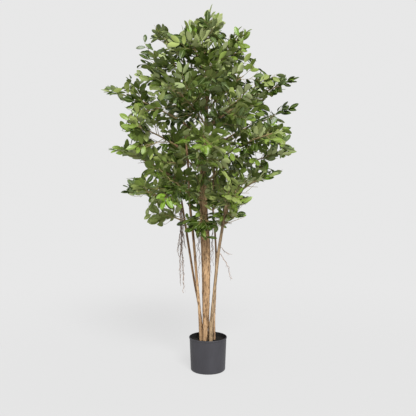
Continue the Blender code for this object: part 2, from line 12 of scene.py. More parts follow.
import bpy
import numpy as np
from mathutils import Matrix, Vector, noise


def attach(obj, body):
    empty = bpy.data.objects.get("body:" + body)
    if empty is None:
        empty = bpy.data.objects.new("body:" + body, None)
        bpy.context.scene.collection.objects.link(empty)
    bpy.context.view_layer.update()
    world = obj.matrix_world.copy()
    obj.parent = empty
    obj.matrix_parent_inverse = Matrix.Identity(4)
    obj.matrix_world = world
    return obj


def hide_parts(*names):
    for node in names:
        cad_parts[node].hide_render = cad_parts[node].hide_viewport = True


UP = Vector((0.0, 0.0, 1.0))
LEVEL = Vector((1.0, 0.0, 0.0))
NEARLY_UPRIGHT = 0.99
SHARP_ANGLE = math.radians(50)
FINEST_SIDES = 3
WHITE = (1.0, 1.0, 1.0)

# Camera and studio. Each sun has the direction that it shines from, its strength and its angle.
CAMERA_PLACE = Vector((0.0, -3.6, 1.175))
CAMERA_TARGET = Vector((0.0, 0.0, 0.8263))
FIELD_AT_TARGET = 2.072
SENSOR = 36.0
BACKDROP = 0.805
WORLD_LIGHT = 0.48
SUNS = {
    "key": (Vector((0.28, -1.0, 0.9)), 4.65, math.radians(22)),
    "fill": (Vector((-1.0, -0.9, 0.5)), 0.5, math.radians(80)),
}
FLOOR_RADIUS = 2.6
FLOOR_SIDES = 64
FLOOR_FADES_FROM = 0.25
FLOOR_ALBEDO = 0.09
FLOOR_GLOW = 0.65
FLOOR_GLOSS = (0.95, 0.0)

# The crown's edges as the camera sees them in the upright plane of the pot's axis: height and x of
# the furthest leaf tips, on the left and on the right
CROWN_LEFT = (
    (0.655, 0.0), (0.675, -0.06), (0.705, -0.13), (0.74, -0.17), (0.75, -0.3), (0.775, -0.335),
    (0.8, -0.31), (0.83, -0.29), (0.875, -0.3), (0.888, -0.385), (0.9, -0.435), (0.94, -0.42),
    (0.985, -0.395), (1.0, -0.31), (1.03, -0.3), (1.06, -0.32), (1.085, -0.38), (1.1, -0.48),
    (1.137, -0.495), (1.146, -0.42), (1.152, -0.34), (1.163, -0.34), (1.17, -0.42), (1.185, -0.43),
    (1.195, -0.38), (1.207, -0.42), (1.24, -0.432), (1.25, -0.445), (1.291, -0.447), (1.299, -0.4),
    (1.31, -0.34), (1.325, -0.41), (1.345, -0.42), (1.37, -0.43), (1.388, -0.44), (1.398, -0.53),
    (1.43, -0.53), (1.44, -0.44), (1.49, -0.39), (1.52, -0.345), (1.58, -0.34), (1.6, -0.355),
    (1.67, -0.355), (1.678, -0.305), (1.685, -0.28), (1.726, -0.276), (1.732, -0.25), (1.737, -0.13),
    (1.745, -0.125), (1.75, -0.055), (1.765, -0.025), (1.79, -0.01), (1.815, 0.01),
)
CROWN_RIGHT = (
    (0.655, 0.01), (0.68, 0.04), (0.72, 0.07), (0.74, 0.115), (0.77, 0.105), (0.785, 0.19),
    (0.805, 0.18), (0.815, 0.13), (0.835, 0.14), (0.845, 0.19), (0.86, 0.225), (0.885, 0.225),
    (0.897, 0.15), (0.925, 0.175), (0.95, 0.215), (0.97, 0.29), (0.985, 0.36), (1.02, 0.365),
    (1.028, 0.29), (1.04, 0.3), (1.06, 0.29), (1.07, 0.335), (1.09, 0.4), (1.11, 0.455), (1.125, 0.43),
    (1.145, 0.38), (1.16, 0.37), (1.185, 0.41), (1.21, 0.425), (1.25, 0.4), (1.265, 0.33), (1.285, 0.37),
    (1.3, 0.44), (1.32, 0.45), (1.345, 0.45), (1.357, 0.36), (1.37, 0.29), (1.39, 0.34), (1.41, 0.38),
    (1.425, 0.44), (1.48, 0.455), (1.49, 0.3), (1.51, 0.262), (1.53, 0.24), (1.6, 0.21), (1.634, 0.2),
    (1.645, 0.168), (1.665, 0.178), (1.69, 0.2), (1.722, 0.205), (1.735, 0.09), (1.785, 0.06),
    (1.815, 0.02),
)
EDGE_SLACK = 0.008

# Openings in the crown that show the sky, in the same plane: x, height and radius
SKY_OPENINGS = (
    (-0.158, 1.704, 0.031), (-0.24, 1.635, 0.02), (-0.268, 1.622, 0.017), (-0.04, 1.785, 0.025),
    (0.195, 1.484, 0.029), (0.172, 1.463, 0.02), (-0.25, 1.172, 0.028), (-0.4, 1.297, 0.018),
    (0.32, 1.345, 0.035), (-0.34, 0.828, 0.022), (0.1, 1.702, 0.028), (-0.305, 1.5, 0.018),
    (0.19, 1.0, 0.016), (0.262, 1.082, 0.018), (0.165, 0.815, 0.016), (0.145, 0.765, 0.016),
    (-0.318, 0.872, 0.026), (-0.14, 0.765, 0.014), (-0.14, 0.727, 0.02),
)

# Stretches of the stems that show between the leaves, by height, and how far a leaf in front keeps
# off the bark as the camera sees it
BARE_STRETCHES = (
    ("trunk", 0.765, 0.945), ("stem_left_outer", 0.67, 0.815), ("stem_left_inner", 0.78, 0.83),
    ("stem_left_inner", 0.895, 0.96), ("stem_right_outer", 0.68, 0.865),
    ("stem_right_inner", 0.9, 0.985),
)
BARE_CLEAR = 0.003

# Sprigs that stand out of the crown, by the mass that they grow on: where on its stem, the tip, and
# how far it spreads, from 0 for a thin one seen edge on to 1. Their sprays: place and angle.
SPRIGS = {
    "left_shoulder": ((0.72, (-0.338, -0.02, 1.66), 0.8), (0.6, (-0.33, -0.08, 1.44), 1.0)),
    "back_top": ((0.8, (-0.095, 0.05, 1.742), 1.0),),
    "crown_tip": ((0.6, (0.068, -0.01, 1.738), 1.0),),
    "left_reach": ((0.8, (-0.52, -0.01, 1.41), 0.3),),
    "left_middle": ((0.72, (-0.424, -0.09, 1.281), 1.0), (0.6, (-0.412, -0.07, 1.19), 1.0)),
    "left_long": ((0.8, (-0.496, 0.02, 1.126), 0.7),),
    "left_low": ((0.65, (-0.388, 0.0, 0.985), 1.0), (0.75, (-0.43, -0.02, 0.897), 1.0)),
    "left_foot": ((0.45, (-0.332, -0.03, 0.806), 1.0), (0.3, (-0.212, -0.05, 0.836), 1.0)),
    "heart_left": ((0.5, (-0.215, -0.08, 1.238), 1.0),),
    "front_foot": (
        (0.3, (-0.112, -0.07, 0.79), 0.8), (0.6, (-0.092, -0.205, 0.722), 1.0),
        (0.75, (0.015, -0.215, 0.735), 1.0),
    ),
    "right_middle": ((0.72, (0.452, 0.06, 1.336), 0.2),),
    "right_shoulder": ((0.7, (0.258, -0.06, 1.508), 0.7),),
    "right_reach": ((0.8, (0.455, -0.01, 1.478), 0.35),),
    "right_fork": ((0.75, (0.4, -0.09, 1.238), 1.0), (0.7, (0.398, -0.1, 1.205), 1.0)),
    "right_long": ((0.8, (0.452, -0.03, 1.122), 0.6), (0.7, (0.365, -0.02, 1.085), 1.0)),
    "right_low": ((0.7, (0.354, -0.06, 1.008), 0.5),),
    "right_foot": (
        (0.6, (0.208, -0.01, 0.87), 1.0), (0.8, (0.185, 0.0, 0.797), 1.0),
        (0.5, (0.112, -0.02, 0.748), 1.0),
    ),
}
SPRIG_SPRAYS = ((0.55, 0.75), (0.78, -0.75), (1.0, 0.0))
SPRIG_SPRAY_LENGTH = 0.088
SPRIG_SHARE = 1.18
SPRIG_FACE = Vector((0.1, -0.9, 0.45))
EDGE_ON_FACE = Vector((0.0, -0.12, 1.0))

# Masses that show thinly: the share of their sprays that bear leaves
THINNED = {"left_foot": 0.22, "right_foot": 0.45, "front_foot": 0.5, "right_low": 0.75}

# Pot and filling. Each of the filling's lumps has its share, its rate and its place in the noise.
POT_HEIGHT = 0.173
POT_SIDES = 144
RIM_RADIUS = 0.0955
RIM_HEIGHT = 0.006
RIM_LIP = 0.0023
FOOT_RADIUS = 0.0872
FOOT_BEVEL = 0.005
WALL = 0.003
POT_FLOOR = 0.005
EDGE_ROUNDING = 0.0022
EDGE_PARTS = 2.2
ROUNDING_STEPS = 4
FILL_DEPTH = 0.02
FILL_RINGS = 26
FILL_SIDES = 96
FILL_RELIEF = 0.0035
FILL_LUMPS = ((1.0, 70.0, 0.0), (0.6, 210.0, 4.0))

# The rule's values, as in the solids: clearances, stems, masses, twigs and sprays
TOUCH = 0.0003
SPACE_GAP = 0.0015
TWIG_GAP = 0.004
SPRAY_GAP = 0.006
SPRAYS_APART = 0.009
FILL_TOP = POT_HEIGHT - FILL_DEPTH
FOOT_Z = FILL_TOP + TOUCH

# Knots along each stem: x, y, height and radius
STEMS = {
    "trunk": (
        (-0.0165, 0.0, FOOT_Z, 0.0135), (-0.0127, 0.0, 0.235, 0.014), (-0.0102, 0.0, 0.35, 0.0184),
        (-0.01, 0.0, 0.48, 0.021), (-0.0125, 0.0, 0.64, 0.0226), (-0.02, 0.0, 0.78, 0.0215),
        (-0.0265, 0.0, 0.9, 0.0195), (-0.024, 0.0, 1.03, 0.015), (-0.01, 0.0, 1.2, 0.011),
        (-0.008, 0.0, 1.42, 0.0072), (-0.014, 0.0, 1.6, 0.0046),
    ),
    "stem_left_outer": (
        (-0.0276, 0.02, FOOT_Z, 0.0058), (-0.0415, 0.023, 0.3, 0.0058), (-0.0668, 0.028, 0.437, 0.0057),
        (-0.102, 0.034, 0.658, 0.0055), (-0.13, 0.04, 0.84, 0.005), (-0.162, 0.048, 1.02, 0.0042),
    ),
    "stem_left_inner": (
        (-0.038, 0.004, FOOT_Z, 0.0068), (-0.044, -0.01, 0.32, 0.007), (-0.0577, -0.02, 0.492, 0.0067),
        (-0.072, -0.026, 0.675, 0.0064), (-0.09, -0.034, 0.86, 0.006), (-0.096, -0.044, 1.02, 0.0052),
        (-0.109, -0.052, 1.18, 0.0043),
    ),
    "stem_right_outer": (
        (0.0143, -0.014, FOOT_Z, 0.0103), (0.015, -0.014, 0.225, 0.01), (0.0205, -0.016, 0.29, 0.0086),
        (0.0345, -0.02, 0.44, 0.008), (0.052, -0.024, 0.605, 0.0077), (0.077, -0.03, 0.768, 0.007),
        (0.101, -0.04, 0.924, 0.0056),
    ),
    "stem_right_inner": (
        (0.0318, 0.012, FOOT_Z, 0.0066), (0.0312, 0.013, 0.27, 0.0058), (0.0362, 0.014, 0.39, 0.0053),
        (0.0405, 0.016, 0.57, 0.0051), (0.035, 0.02, 0.7, 0.0048), (0.023, 0.026, 0.88, 0.0046),
        (0.04, 0.034, 1.12, 0.004),
    ),
}
STEM_STEP = 0.07
UPRIGHT_FOOT = 0.012

# Each mass of foliage: the stem that carries it, the height of its foot there, the place of its
# furthest leaf tip, its half width, and the share of the way that is a bough, 0 where it has none
MASSES = {
    "crown_tip": ("trunk", 1.6, (0.018, 0.0, 1.788), 0.1, 0.0),
    "upper_left": ("trunk", 1.39, (-0.285, 0.03, 1.725), 0.15, 0.0),
    "upper_right": ("trunk", 1.43, (0.2, 0.01, 1.72), 0.15, 0.0),
    "front_top": ("trunk", 1.45, (-0.1, -0.18, 1.68), 0.15, 0.0),
    "back_top": ("trunk", 1.38, (0.05, 0.22, 1.67), 0.16, 0.0),
    "left_shoulder": ("trunk", 1.3, (-0.345, -0.05, 1.575), 0.17, 0.0),
    "right_shoulder": ("trunk", 1.32, (0.255, -0.08, 1.52), 0.17, 0.0),
    "left_reach": ("trunk", 1.18, (-0.525, 0.03, 1.41), 0.17, 0.2),
    "right_reach": ("trunk", 1.235, (0.455, 0.01, 1.455), 0.165, 0.2),
    "left_middle": ("stem_left_inner", 1.11, (-0.44, -0.11, 1.25), 0.175, 0.18),
    "right_middle": ("trunk", 1.11, (0.44, 0.13, 1.3), 0.165, 0.22),
    "right_fork": ("stem_right_inner", 1.06, (0.39, -0.19, 1.21), 0.165, 0.2),
    "left_long": ("stem_left_outer", 0.97, (-0.49, 0.06, 1.115), 0.165, 0.2),
    "right_long": ("stem_right_inner", 0.96, (0.44, 0.01, 1.11), 0.16, 0.22),
    "left_low": ("stem_left_outer", 0.83, (-0.435, -0.03, 0.925), 0.15, 0.18),
    "right_low": ("stem_right_outer", 0.87, (0.345, -0.03, 1.01), 0.13, 0.18),
    "left_foot": ("stem_left_outer", 0.76, (-0.325, 0.04, 0.795), 0.12, 0.0),
    "right_foot": ("stem_right_outer", 0.75, (0.17, 0.05, 0.81), 0.11, 0.0),
    "front_foot": ("trunk", 0.79, (-0.05, -0.23, 0.75), 0.13, 0.0),
    "front_left_high": ("trunk", 1.24, (-0.18, -0.37, 1.4), 0.18, 0.0),
    "front_right_high": ("trunk", 1.2, (0.18, -0.36, 1.36), 0.18, 0.0),
    "front_middle": ("trunk", 1.06, (-0.02, -0.43, 1.2), 0.185, 0.0),
    "front_left_low": ("stem_left_inner", 0.9, (-0.22, -0.34, 0.99), 0.17, 0.18),
    "front_right_low": ("stem_right_outer", 0.8, (0.15, -0.34, 0.96), 0.17, 0.18),
    "back_left_high": ("trunk", 1.22, (-0.21, 0.37, 1.38), 0.185, 0.0),
    "back_right_high": ("trunk", 1.16, (0.21, 0.37, 1.34), 0.185, 0.0),
    "back_middle": ("trunk", 1.0, (-0.01, 0.43, 1.15), 0.19, 0.0),
    "back_left_low": ("stem_left_outer", 0.89, (-0.21, 0.36, 0.97), 0.17, 0.18),
    "back_right_low": ("stem_right_inner", 0.82, (0.16, 0.35, 0.93), 0.165, 0.2),
    "heart_left": ("trunk", 1.01, (-0.28, -0.04, 1.17), 0.15, 0.0),
    "heart_right": ("trunk", 0.95, (0.22, -0.15, 1.13), 0.15, 0.0),
    "heart_front": ("trunk", 0.88, (-0.04, -0.28, 0.96), 0.15, 0.0),
    "heart_back": ("trunk", 0.86, (0.01, 0.3, 0.94), 0.15, 0.0),
    "heart_top": ("trunk", 1.34, (0.06, -0.25, 1.54), 0.15, 0.0),
    "heart_top_left": ("trunk", 1.36, (-0.24, -0.17, 1.58), 0.14, 0.0),
}
ARCH = 0.13
FLATTEN = 0.85
SPACE_OVERHANG = 1.1
SPACE_SQUARENESS = 2.5
BOUGH_RADIUS = 0.0062
JOINT_RADIUS = 0.0046
STEM_TIP_RADIUS = 0.0024
COLLAR = 0.006
BOUGH_STEPS = 2
MASS_STEM_STEPS = 4
STEM_TIP = 0.995

TWIGS = 5
TWIG_SHARES = (0.04, 0.86)
TWIG_LENGTHS = (0.16, 0.075)
TWIG_SHRINK = 0.5
TWIG_RADIUS = 0.0026
TWIG_IN_STEM = 0.65
TWIG_ANGLES = (0.65, 1.05)
TWIG_TURN = 2.4
TWIG_TURN_SPREAD = 0.6
TWIG_TRIES = 10
TWIG_FREE_FROM = 0.15

# A spray takes the room of one large leaf of the solids, and that leaf's outline is its limit
SPRAY_LENGTH = 0.122
SPRAY_LENGTH_SHARES = (0.85, 1.0)
SPRAY_SHRINK = 0.3
TIP_SPRAY_ROOM = 0.9
SPRAY_WIDTH = 0.076
SPRAY_WIDEST = 0.56
SPRAY_STATIONS = (0.12, 0.23, 0.34, 0.45, SPRAY_WIDEST, 0.67, 0.78, 0.89, 1.0)
SPRAY_COLUMNS = 7
SPRAY_FREE_FROM = 0.3
SPRAY_TAKES_FROM = 0.2
SPRAY_FOLD = 0.008
SPRAY_SINK = 0.0004
SPRAY_ANGLES = (0.7, 1.15)
TIP_SPRAY_ANGLE = 0.3
SPRAY_TURN_SPREAD = 1.0
SPRAY_LEAN = 1.3
SPRAY_TRIES = 14
SPRAY_SHARES = (0.2, 0.95)
SPRAYS = 13
SPRAY_ROUNDS = 4
STEM_SPRAY_EVERY = 3

# Finer sprays that fill the room left between those of the solids. The grade of a spray is its share
# of the full length and how far it keeps from the others.
MORE_TWIGS = 4
MORE_TWIG_SHARES = (0.06, 0.8)
MORE_SPRAYS = 16
MORE_ROUNDS = 5
COARSE = (1.0, SPRAYS_APART)
FINE = (0.78, 0.004)

# Each bunch of aerial roots: its stem, its height there, the way that it faces, and how far the end of
# each strand is from the knot
ROOT_BUNCHES = {
    "aerial_roots_left": (
        "stem_left_outer", 0.735, (-0.7, -0.7),
        ((-0.022, 0.006, -0.318), (-0.004, -0.008, -0.355), (-0.034, 0.01, -0.165), (0.008, -0.02, -0.12)),
    ),
    "aerial_roots_middle": (
        "trunk", 0.735, (-0.85, -0.5),
        ((-0.014, -0.006, -0.165), (0.0, -0.01, -0.305), (-0.006, 0.006, -0.23)),
    ),
    "aerial_roots_inner_right": (
        "stem_right_inner", 0.725, (-0.8, 0.6),
        ((-0.004, 0.008, -0.16), (-0.009, 0.014, -0.265), (0.001, 0.02, -0.215)),
    ),
    "aerial_roots_right": (
        "stem_right_outer", 0.6, (0.95, -0.3), ((0.066, -0.01, -0.142), (0.058, 0.008, -0.004)),
    ),
}
ROOT_RADII = (0.0018, 0.0012)
KNOT_RADII = (0.0036, 0.0029)
KNOT_LENGTH = 0.0065
ROOT_HEAD = 0.0039
ROOT_BEND_SHARE = 0.35
ROOT_BEND_OUT = 0.012
ROOT_WAVE = 0.004
ROOT_WAVE_RATES = (9.0, 7.0)
ROOT_STEPS = 6

# Fine roots: how many wind about each strand, and how far above the knot those of each one start
HAIR_BUNCHES = {
    "aerial_roots_left": (4, (0.09, 0.09, 0.09, 0.09)),
    "aerial_roots_middle": (1, (0.0, 0.0, 0.0)),
    "aerial_roots_inner_right": (1, (0.0, 0.0, 0.0)),
    "aerial_roots_right": (2, (0.0, 0.033)),
}
HAIR_STEP = 0.006
HAIR_STRAIGHT = 6
HAIR_SIDES = 5
HAIR_REACHES = (0.86, 1.0)
HAIR_RADII = (0.0014, 0.0008)
HAIR_SWING = 0.01
HAIR_RATE = 46.0
HAIR_SEEDS = 90.0
STEPS_PER_SIDE_HAIR = 6
SIDE_HAIR_LENGTHS = (0.008, 0.026)
SIDE_HAIR_SPREAD = 0.35
SIDE_HAIR_BEND = 0.15
SIDE_HAIR_RADII = (0.0005, 0.0003)

# Knots of a root that closes the seam between the trunk's foot and the stem to its right
SEAM_ROOT = (
    (0.0031, 0.007, FOOT_Z, 0.003), (0.0034, 0.007, 0.235, 0.003), (0.005, 0.005, 0.3, 0.0017),
    (0.0085, 0.002, 0.345, 0.0008),
)

# Bark relief. Ridges are as high as a share of the radius, grain has its height in metres, and each
# has its rate round the limb and along it. Swellings come at even lengths.
BARK_STEP = 0.006
BARK_SIDES = {"trunk": 44}
OTHER_BARK_SIDES = 20
BARK_SUNK = 0.008
RIDGES = (1.5, 5.0)
RIDGE_HEIGHT = 0.085
FINE_RIDGES = (3.0, 10.0)
FINE_RIDGE_SHARE = 0.5
GRAIN = (5.0, 55.0)
GRAIN_HEIGHT = 0.00028
NODE_EVERY = 0.085
NODE_SWELL = 0.06
NODE_POWER = 6
STEM_SEEDS = 3.7
BOUGH_SEEDS = 2.3

# Twigs and stalks as they show
FINE_BOUGH_STEPS = 12
FINE_STEM_STEPS = 14
STEM_SIDES = 8
TWIG_SIDES = 6
TWIG_SLIM = 0.7
TWIG_TIP_SHARE = 0.55
TWIG_BEND_STEPS = 4
TWIG_BOW = 0.035
BOW_TURN = 170.0
TWIG_CUT = 0.85
SHORTEST_TWIG = 0.5
STALK_SIDES = 4
STALK_STEPS = 4
STALK_RADII = (0.0011, 0.0006)
STALK_RISES = (0.0, 0.32)
STALK_LEAF_SHARE = 0.75
STALK_CUT = 0.75
SHORTEST_STALK = 0.025
PETIOLE_LENGTH = 0.006
PETIOLE_SUNK = 0.002
PETIOLE_RADII = (0.0006, 0.0005)

# Leaves at their real size, seen from the foot of a leaf: rows along it, and columns across it
LEAF_LENGTHS = (0.044, 0.058)
LEAF_LENGTH_SPREAD = (0.86, 1.1)
LEAF_RATIOS = (0.4, 0.51)
LEAF_ROWS = (0.05, 0.16, 0.32, 0.48, 0.64, 0.79, 0.91)
LEAF_WIDEST = 0.53
LEAF_BLUNTNESS = 0.88
RIB_SHARE = 0.09
TOP_COLUMNS = (-1.0, -0.5, -RIB_SHARE, RIB_SHARE, 0.5, 1.0)
LEAF_THICKNESS = 0.0009
LEAF_FOLDS = (0.16, 0.55)
LEAF_CUP = 0.16
LEAF_DROOPS = (-0.02, 0.26)
LEAF_SWAY = 0.06
LEAF_ROLL = 0.55
LEAF_PARTS = 3
LEAVES_PER_METRE = 74
FEWEST_SIDE_LEAVES = 3
SIDE_LEAF_SHARES = (0.1, 0.93)
SIDE_LEAF_ANGLES = (0.62, 1.02)
SIDE_LEAF_RAISES = (-0.22, 0.42)

# Leaf tones, dealt out by spray: linear colours of the top and the underside, roughness of the top,
# and how often the tone comes up in the crown and at the tips
TONES = {
    "deep": ((0.032, 0.057, 0.004), (0.114, 0.16, 0.026), 0.38, 0.27, 0.2),
    "dusky": ((0.092, 0.134, 0.044), (0.23, 0.28, 0.115), 0.4, 0.14, 0.13),
    "green": ((0.152, 0.222, 0.032), (0.29, 0.352, 0.098), 0.38, 0.28, 0.26),
    "olive": ((0.208, 0.258, 0.07), (0.34, 0.388, 0.16), 0.42, 0.19, 0.18),
    "grass": ((0.13, 0.224, 0.018), (0.255, 0.345, 0.07), 0.38, 0.05, 0.08),
    "fresh": ((0.262, 0.322, 0.112), (0.396, 0.45, 0.212), 0.4, 0.07, 0.15),
}

# How many times as often a tone comes up in a mass that shows more or less of it than the rest: partly the
# tree's own mix of tones, partly painted shade and light, with darker tones for masses in shade and paler
# ones for lit masses
TONE_AND_SHADE_FACTORS = {
    "front_foot": {"deep": 12.0}, "left_foot": {"olive": 9.0}, "right_middle": {"deep": 2.5},
    "right_reach": {"deep": 4.0, "fresh": 0.0}, "right_foot": {"olive": 5.0},
    "right_fork": {"deep": 3.0}, "left_shoulder": {"deep": 4.0}, "left_low": {"deep": 2.0},
    "left_reach": {"dusky": 1.5}, "front_right_low": {"green": 3.0}, "back_right_low": {"deep": 3.0},
    "back_left_low": {"deep": 3.0, "fresh": 0.3}, "left_middle": {"deep": 2.0},
    "front_left_low": {"deep": 6.0, "fresh": 0.0}, "left_long": {"green": 3.0},
    "front_left_high": {"deep": 7.0}, "front_middle": {"deep": 2.0}, "heart_top": {"fresh": 8.0},
    "heart_right": {"fresh": 6.0}, "crown_tip": {"fresh": 14.0}, "right_long": {"fresh": 5.0},
    "right_low": {"fresh": 5.0}, "upper_right": {"green": 2.5}, "upper_left": {"olive": 2.5},
    "front_top": {"deep": 2.5}, "right_shoulder": {"deep": 3.0, "fresh": 0.3},
}

# Finishes. A gloss is roughness and specular level. A pattern is a noise's scale, its stretch along
# Z, its detail and its roughness. A cloud is a pattern with the places of its colours on it, and a
# skin is a pattern with its depth in metres and its strength. Colours are linear, dark ones first.
RIB_COLOR = (0.3, 0.37, 0.15)
RIB_BLEND = 0.6
LEAF_SPECULAR = 0.34
UNDERSIDE_GLOSS = (0.72, 0.3)
LEAF_SKIN = ((150.0, 1.0, 3.0, 0.5), (0.0007, 0.5))
TWIG_FINISHES = {
    "twig_wood": ((0.34, 0.25, 0.12), (0.75, 0.3)),
    "stalk": ((0.2, 0.175, 0.065), (0.65, 0.3)),
}
TWIG_SKIN = ((420.0, 1.0, 3.0, 0.5), (0.0008, 0.5))
WOODS = {
    "trunk": ((0.086, 0.048, 0.022), (0.368, 0.224, 0.11), (0.58, 0.388, 0.222)),
    "stem_left_outer": ((0.09, 0.048, 0.021), (0.31, 0.186, 0.094), (0.51, 0.335, 0.188)),
    "stem_left_inner": ((0.115, 0.062, 0.028), (0.36, 0.222, 0.115), (0.53, 0.365, 0.205)),
    "stem_right_outer": ((0.108, 0.07, 0.035), (0.3, 0.204, 0.113), (0.475, 0.35, 0.22)),
    "stem_right_inner": ((0.09, 0.05, 0.024), (0.33, 0.21, 0.12), (0.51, 0.36, 0.225)),
}
BOUGH_WOOD = ((0.12, 0.066, 0.03), (0.27, 0.16, 0.08), (0.4, 0.26, 0.14))
WOOD_GLOSS = (0.72, 0.35)
WOOD_STREAKS = ((95.0, 9.0, 5.0, 0.62), (0.34, 0.5, 0.68))
WOOD_PATCHES = ((30.0, 3.2, 3.0, 0.5), (0.3, 0.48, 0.74))
WOOD_PORES = ((190.0, 5.0, 4.0, 0.6), (0.38, 0.5))
WOOD_GRAIN = ((260.0, 7.0, 6.0, 0.65), (0.0012, 0.65))
PATCH_SHARE = 0.45
PORE_SHARE = 0.72
ROOT_COLORS = ((0.165, 0.118, 0.094), (0.43, 0.342, 0.286))
ROOT_GLOSS = (0.88, 0.25)
ROOT_CLOUD = ((160.0, 5.0, 3.0, 0.5), (0.36, 0.62))
POT_COLORS = ((0.0285, 0.0275, 0.0325), (0.037, 0.036, 0.0425))
POT_GLOSS = (0.52, 0.42)
POT_CLOUD = ((16.0, 2.6, 3.0, 0.5), (0.35, 0.66))
POT_SAND = ((900.0, 1.0, 2.0, 0.5), (0.0004, 0.35))
# Painted shade: the pot's inside wall is the same plastic as the outside, given a near-black colour for
# the shade that falls inside the pot
POT_INSIDE_PAINTED_SHADE = (0.01, 0.0095, 0.009)
POT_INSIDE_GLOSS = (0.8, 0.2)
FILL_COLORS = ((0.0065, 0.0058, 0.005), (0.03, 0.025, 0.02))
FILL_GLOSS = (0.95, 0.15)
FILL_CLOUD = ((210.0, 1.0, 5.0, 0.7), (0.42, 0.72))
FILL_GRIT = ((330.0, 1.0, 6.0, 0.7), (0.002, 0.9))


def link(name, data):
    """A new object in the scene."""
    obj = bpy.data.objects.new(name, data)
    bpy.context.scene.collection.objects.link(obj)
    return obj


def connect(tree, node, inputs):
    """Sets each of these inputs of a node to its value, or links it to another node's output."""
    for name, value in inputs.items():
        if isinstance(value, bpy.types.NodeSocket):
            tree.links.new(value, node.inputs[name])
        else:
            node.inputs[name].default_value = value


def add_node(tree, kind, inputs, **settings):
    node = tree.nodes.new("ShaderNode" + kind)
    for name, value in settings.items():
        setattr(node, name, value)
    connect(tree, node, inputs)
    return node


def set_shader(material, inputs):
    connect(material.node_tree, material.node_tree.nodes["Principled BSDF"], inputs)


def new_material(name, color, roughness, specular):
    """A material with the same colour and gloss all over."""
    material = bpy.data.materials.new(name)
    material.use_nodes = True
    gloss = {"Roughness": roughness, "Specular IOR Level": specular}
    set_shader(material, {"Base Color": (*color, 1.0), **gloss})
    return material


def add_noise(tree, scale, stretch, detail, rough):
    """A noise pattern in the object's own coordinates, drawn out along Z by the stretch."""
    own = add_node(tree, "TexCoord", {}).outputs["Object"]
    drawn_out = add_node(tree, "Mapping", {"Vector": own, "Scale": (1.0, 1.0, 1.0 / stretch)})
    inputs = {"Vector": drawn_out.outputs["Vector"], "Scale": scale, "Detail": detail, "Roughness": rough}
    return add_node(tree, "TexNoise", inputs).outputs["Fac"]


def add_ramp(tree, cloud, colors):
    """A colour ramp over a noise pattern, with one stop for each colour."""
    pattern, places = cloud
    ramp = add_node(tree, "ValToRGB", {"Fac": add_noise(tree, *pattern)})
    stops = ramp.color_ramp.elements
    while len(stops) < len(colors):
        stops.new(places[1])
    for stop, place, color in zip(stops, places, colors):
        stop.position = place
        stop.color = (*color, 1.0)
    return ramp.outputs["Color"]


def add_mix(tree, share, first, second, blend):
    inputs = {"Factor": share, "A": first, "B": second}
    mix = add_node(tree, "Mix", inputs, data_type="RGBA", blend_type=blend, clamp_result=True)
    return mix.outputs["Result"]


def add_skin(material, skin):
    """Fine unevenness over a material."""
    pattern, (height, strength) = skin
    tree = material.node_tree
    inputs = {"Height": add_noise(tree, *pattern), "Distance": height, "Strength": strength}
    set_shader(material, {"Normal": add_node(tree, "Bump", inputs).outputs["Normal"]})


def add_cloud(material, cloud, colors):
    """Lets a material wander between its colours."""
    set_shader(material, {"Base Color": add_ramp(material.node_tree, cloud, colors)})


def root_material():
    material = new_material("dried_root", ROOT_COLORS[1], *ROOT_GLOSS)
    add_cloud(material, ROOT_CLOUD, ROOT_COLORS)
    return material


def pot_material():
    """Dark moulded plastic with a faint cloud and a fine sandy skin."""
    material = new_material("pot_plastic", POT_COLORS[1], *POT_GLOSS)
    add_cloud(material, POT_CLOUD, POT_COLORS)
    add_skin(material, POT_SAND)
    return material


def filling_material():
    material = new_material("filling", FILL_COLORS[0], *FILL_GLOSS)
    add_cloud(material, FILL_CLOUD, FILL_COLORS)
    add_skin(material, FILL_GRIT)
    return material


def wood_material(name, colors):
    """Stripped branch wood: streaks along the stem, paler worn patches, dark pores and fine grain."""
    dark, middle, _ = colors
    material = new_material(name, middle, *WOOD_GLOSS)
    tree = material.node_tree
    streaks, patches = add_ramp(tree, WOOD_STREAKS, colors), add_ramp(tree, WOOD_PATCHES, colors)
    pores = add_ramp(tree, WOOD_PORES, (dark, WHITE))
    worn = add_mix(tree, PATCH_SHARE, streaks, patches, "MIX")
    set_shader(material, {"Base Color": add_mix(tree, PORE_SHARE, worn, pores, "MULTIPLY")})
    add_skin(material, WOOD_GRAIN)
    return material


def circle(sides):
    """The x and y of each corner of a level ring of radius 1."""
    return [(math.cos(turn), math.sin(turn)) for turn in (math.tau * j / sides for j in range(sides))]


def ring_faces(first, sides):
    """The faces between a ring of points and the one that follows it."""
    return [
        (first + j, first + sides + j, first + sides + (j + 1) % sides, first + (j + 1) % sides)
        for j in range(sides)
    ]


class Shapes:
    """Points and faces gathered for one mesh, with the number of each face's material."""

    def __init__(self):
        self.places, self.faces, self.slots = [], [], []
        self.count = 0

    def add(self, places, faces, slots):
        self.places.append(np.asarray(places, float))
        self.faces.extend([i + self.count for i in face] for face in faces)
        self.slots.extend(slots)
        self.count += len(places)

    def add_tube(self, route, radii, sides, slot=0):
        """A round limb along a route, with flat ends. Radii are numbers, or one for each side."""
        last = (len(route) - 1) * sides
        faces = [
            (i + j, i + (j + 1) % sides, i + sides + (j + 1) % sides, i + sides + j)
            for i in range(0, last, sides)
            for j in range(sides)
        ]
        faces += [tuple(reversed(range(sides))), tuple(range(last, last + sides))]
        self.add(ring_places(route, radii, sides), faces, [slot] * len(faces))

    def piece(self, name, materials, node, slot):
        """The mesh object of all that was gathered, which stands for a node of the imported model."""
        mesh = bpy.data.meshes.new(name)
        mesh.from_pydata(np.vstack(self.places).tolist(), [], self.faces)
        for material in materials:
            mesh.materials.append(material)
        mesh.polygons.foreach_set("material_index", self.slots)
        mesh.shade_smooth()
        mesh.set_sharp_from_angle(angle=SHARP_ANGLE)
        mesh.update()
        obj = link(name, mesh)
        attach(obj, "root")
        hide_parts(node)


def unit_rows(rows):
    return rows / np.linalg.norm(rows, axis=1)[:, None]


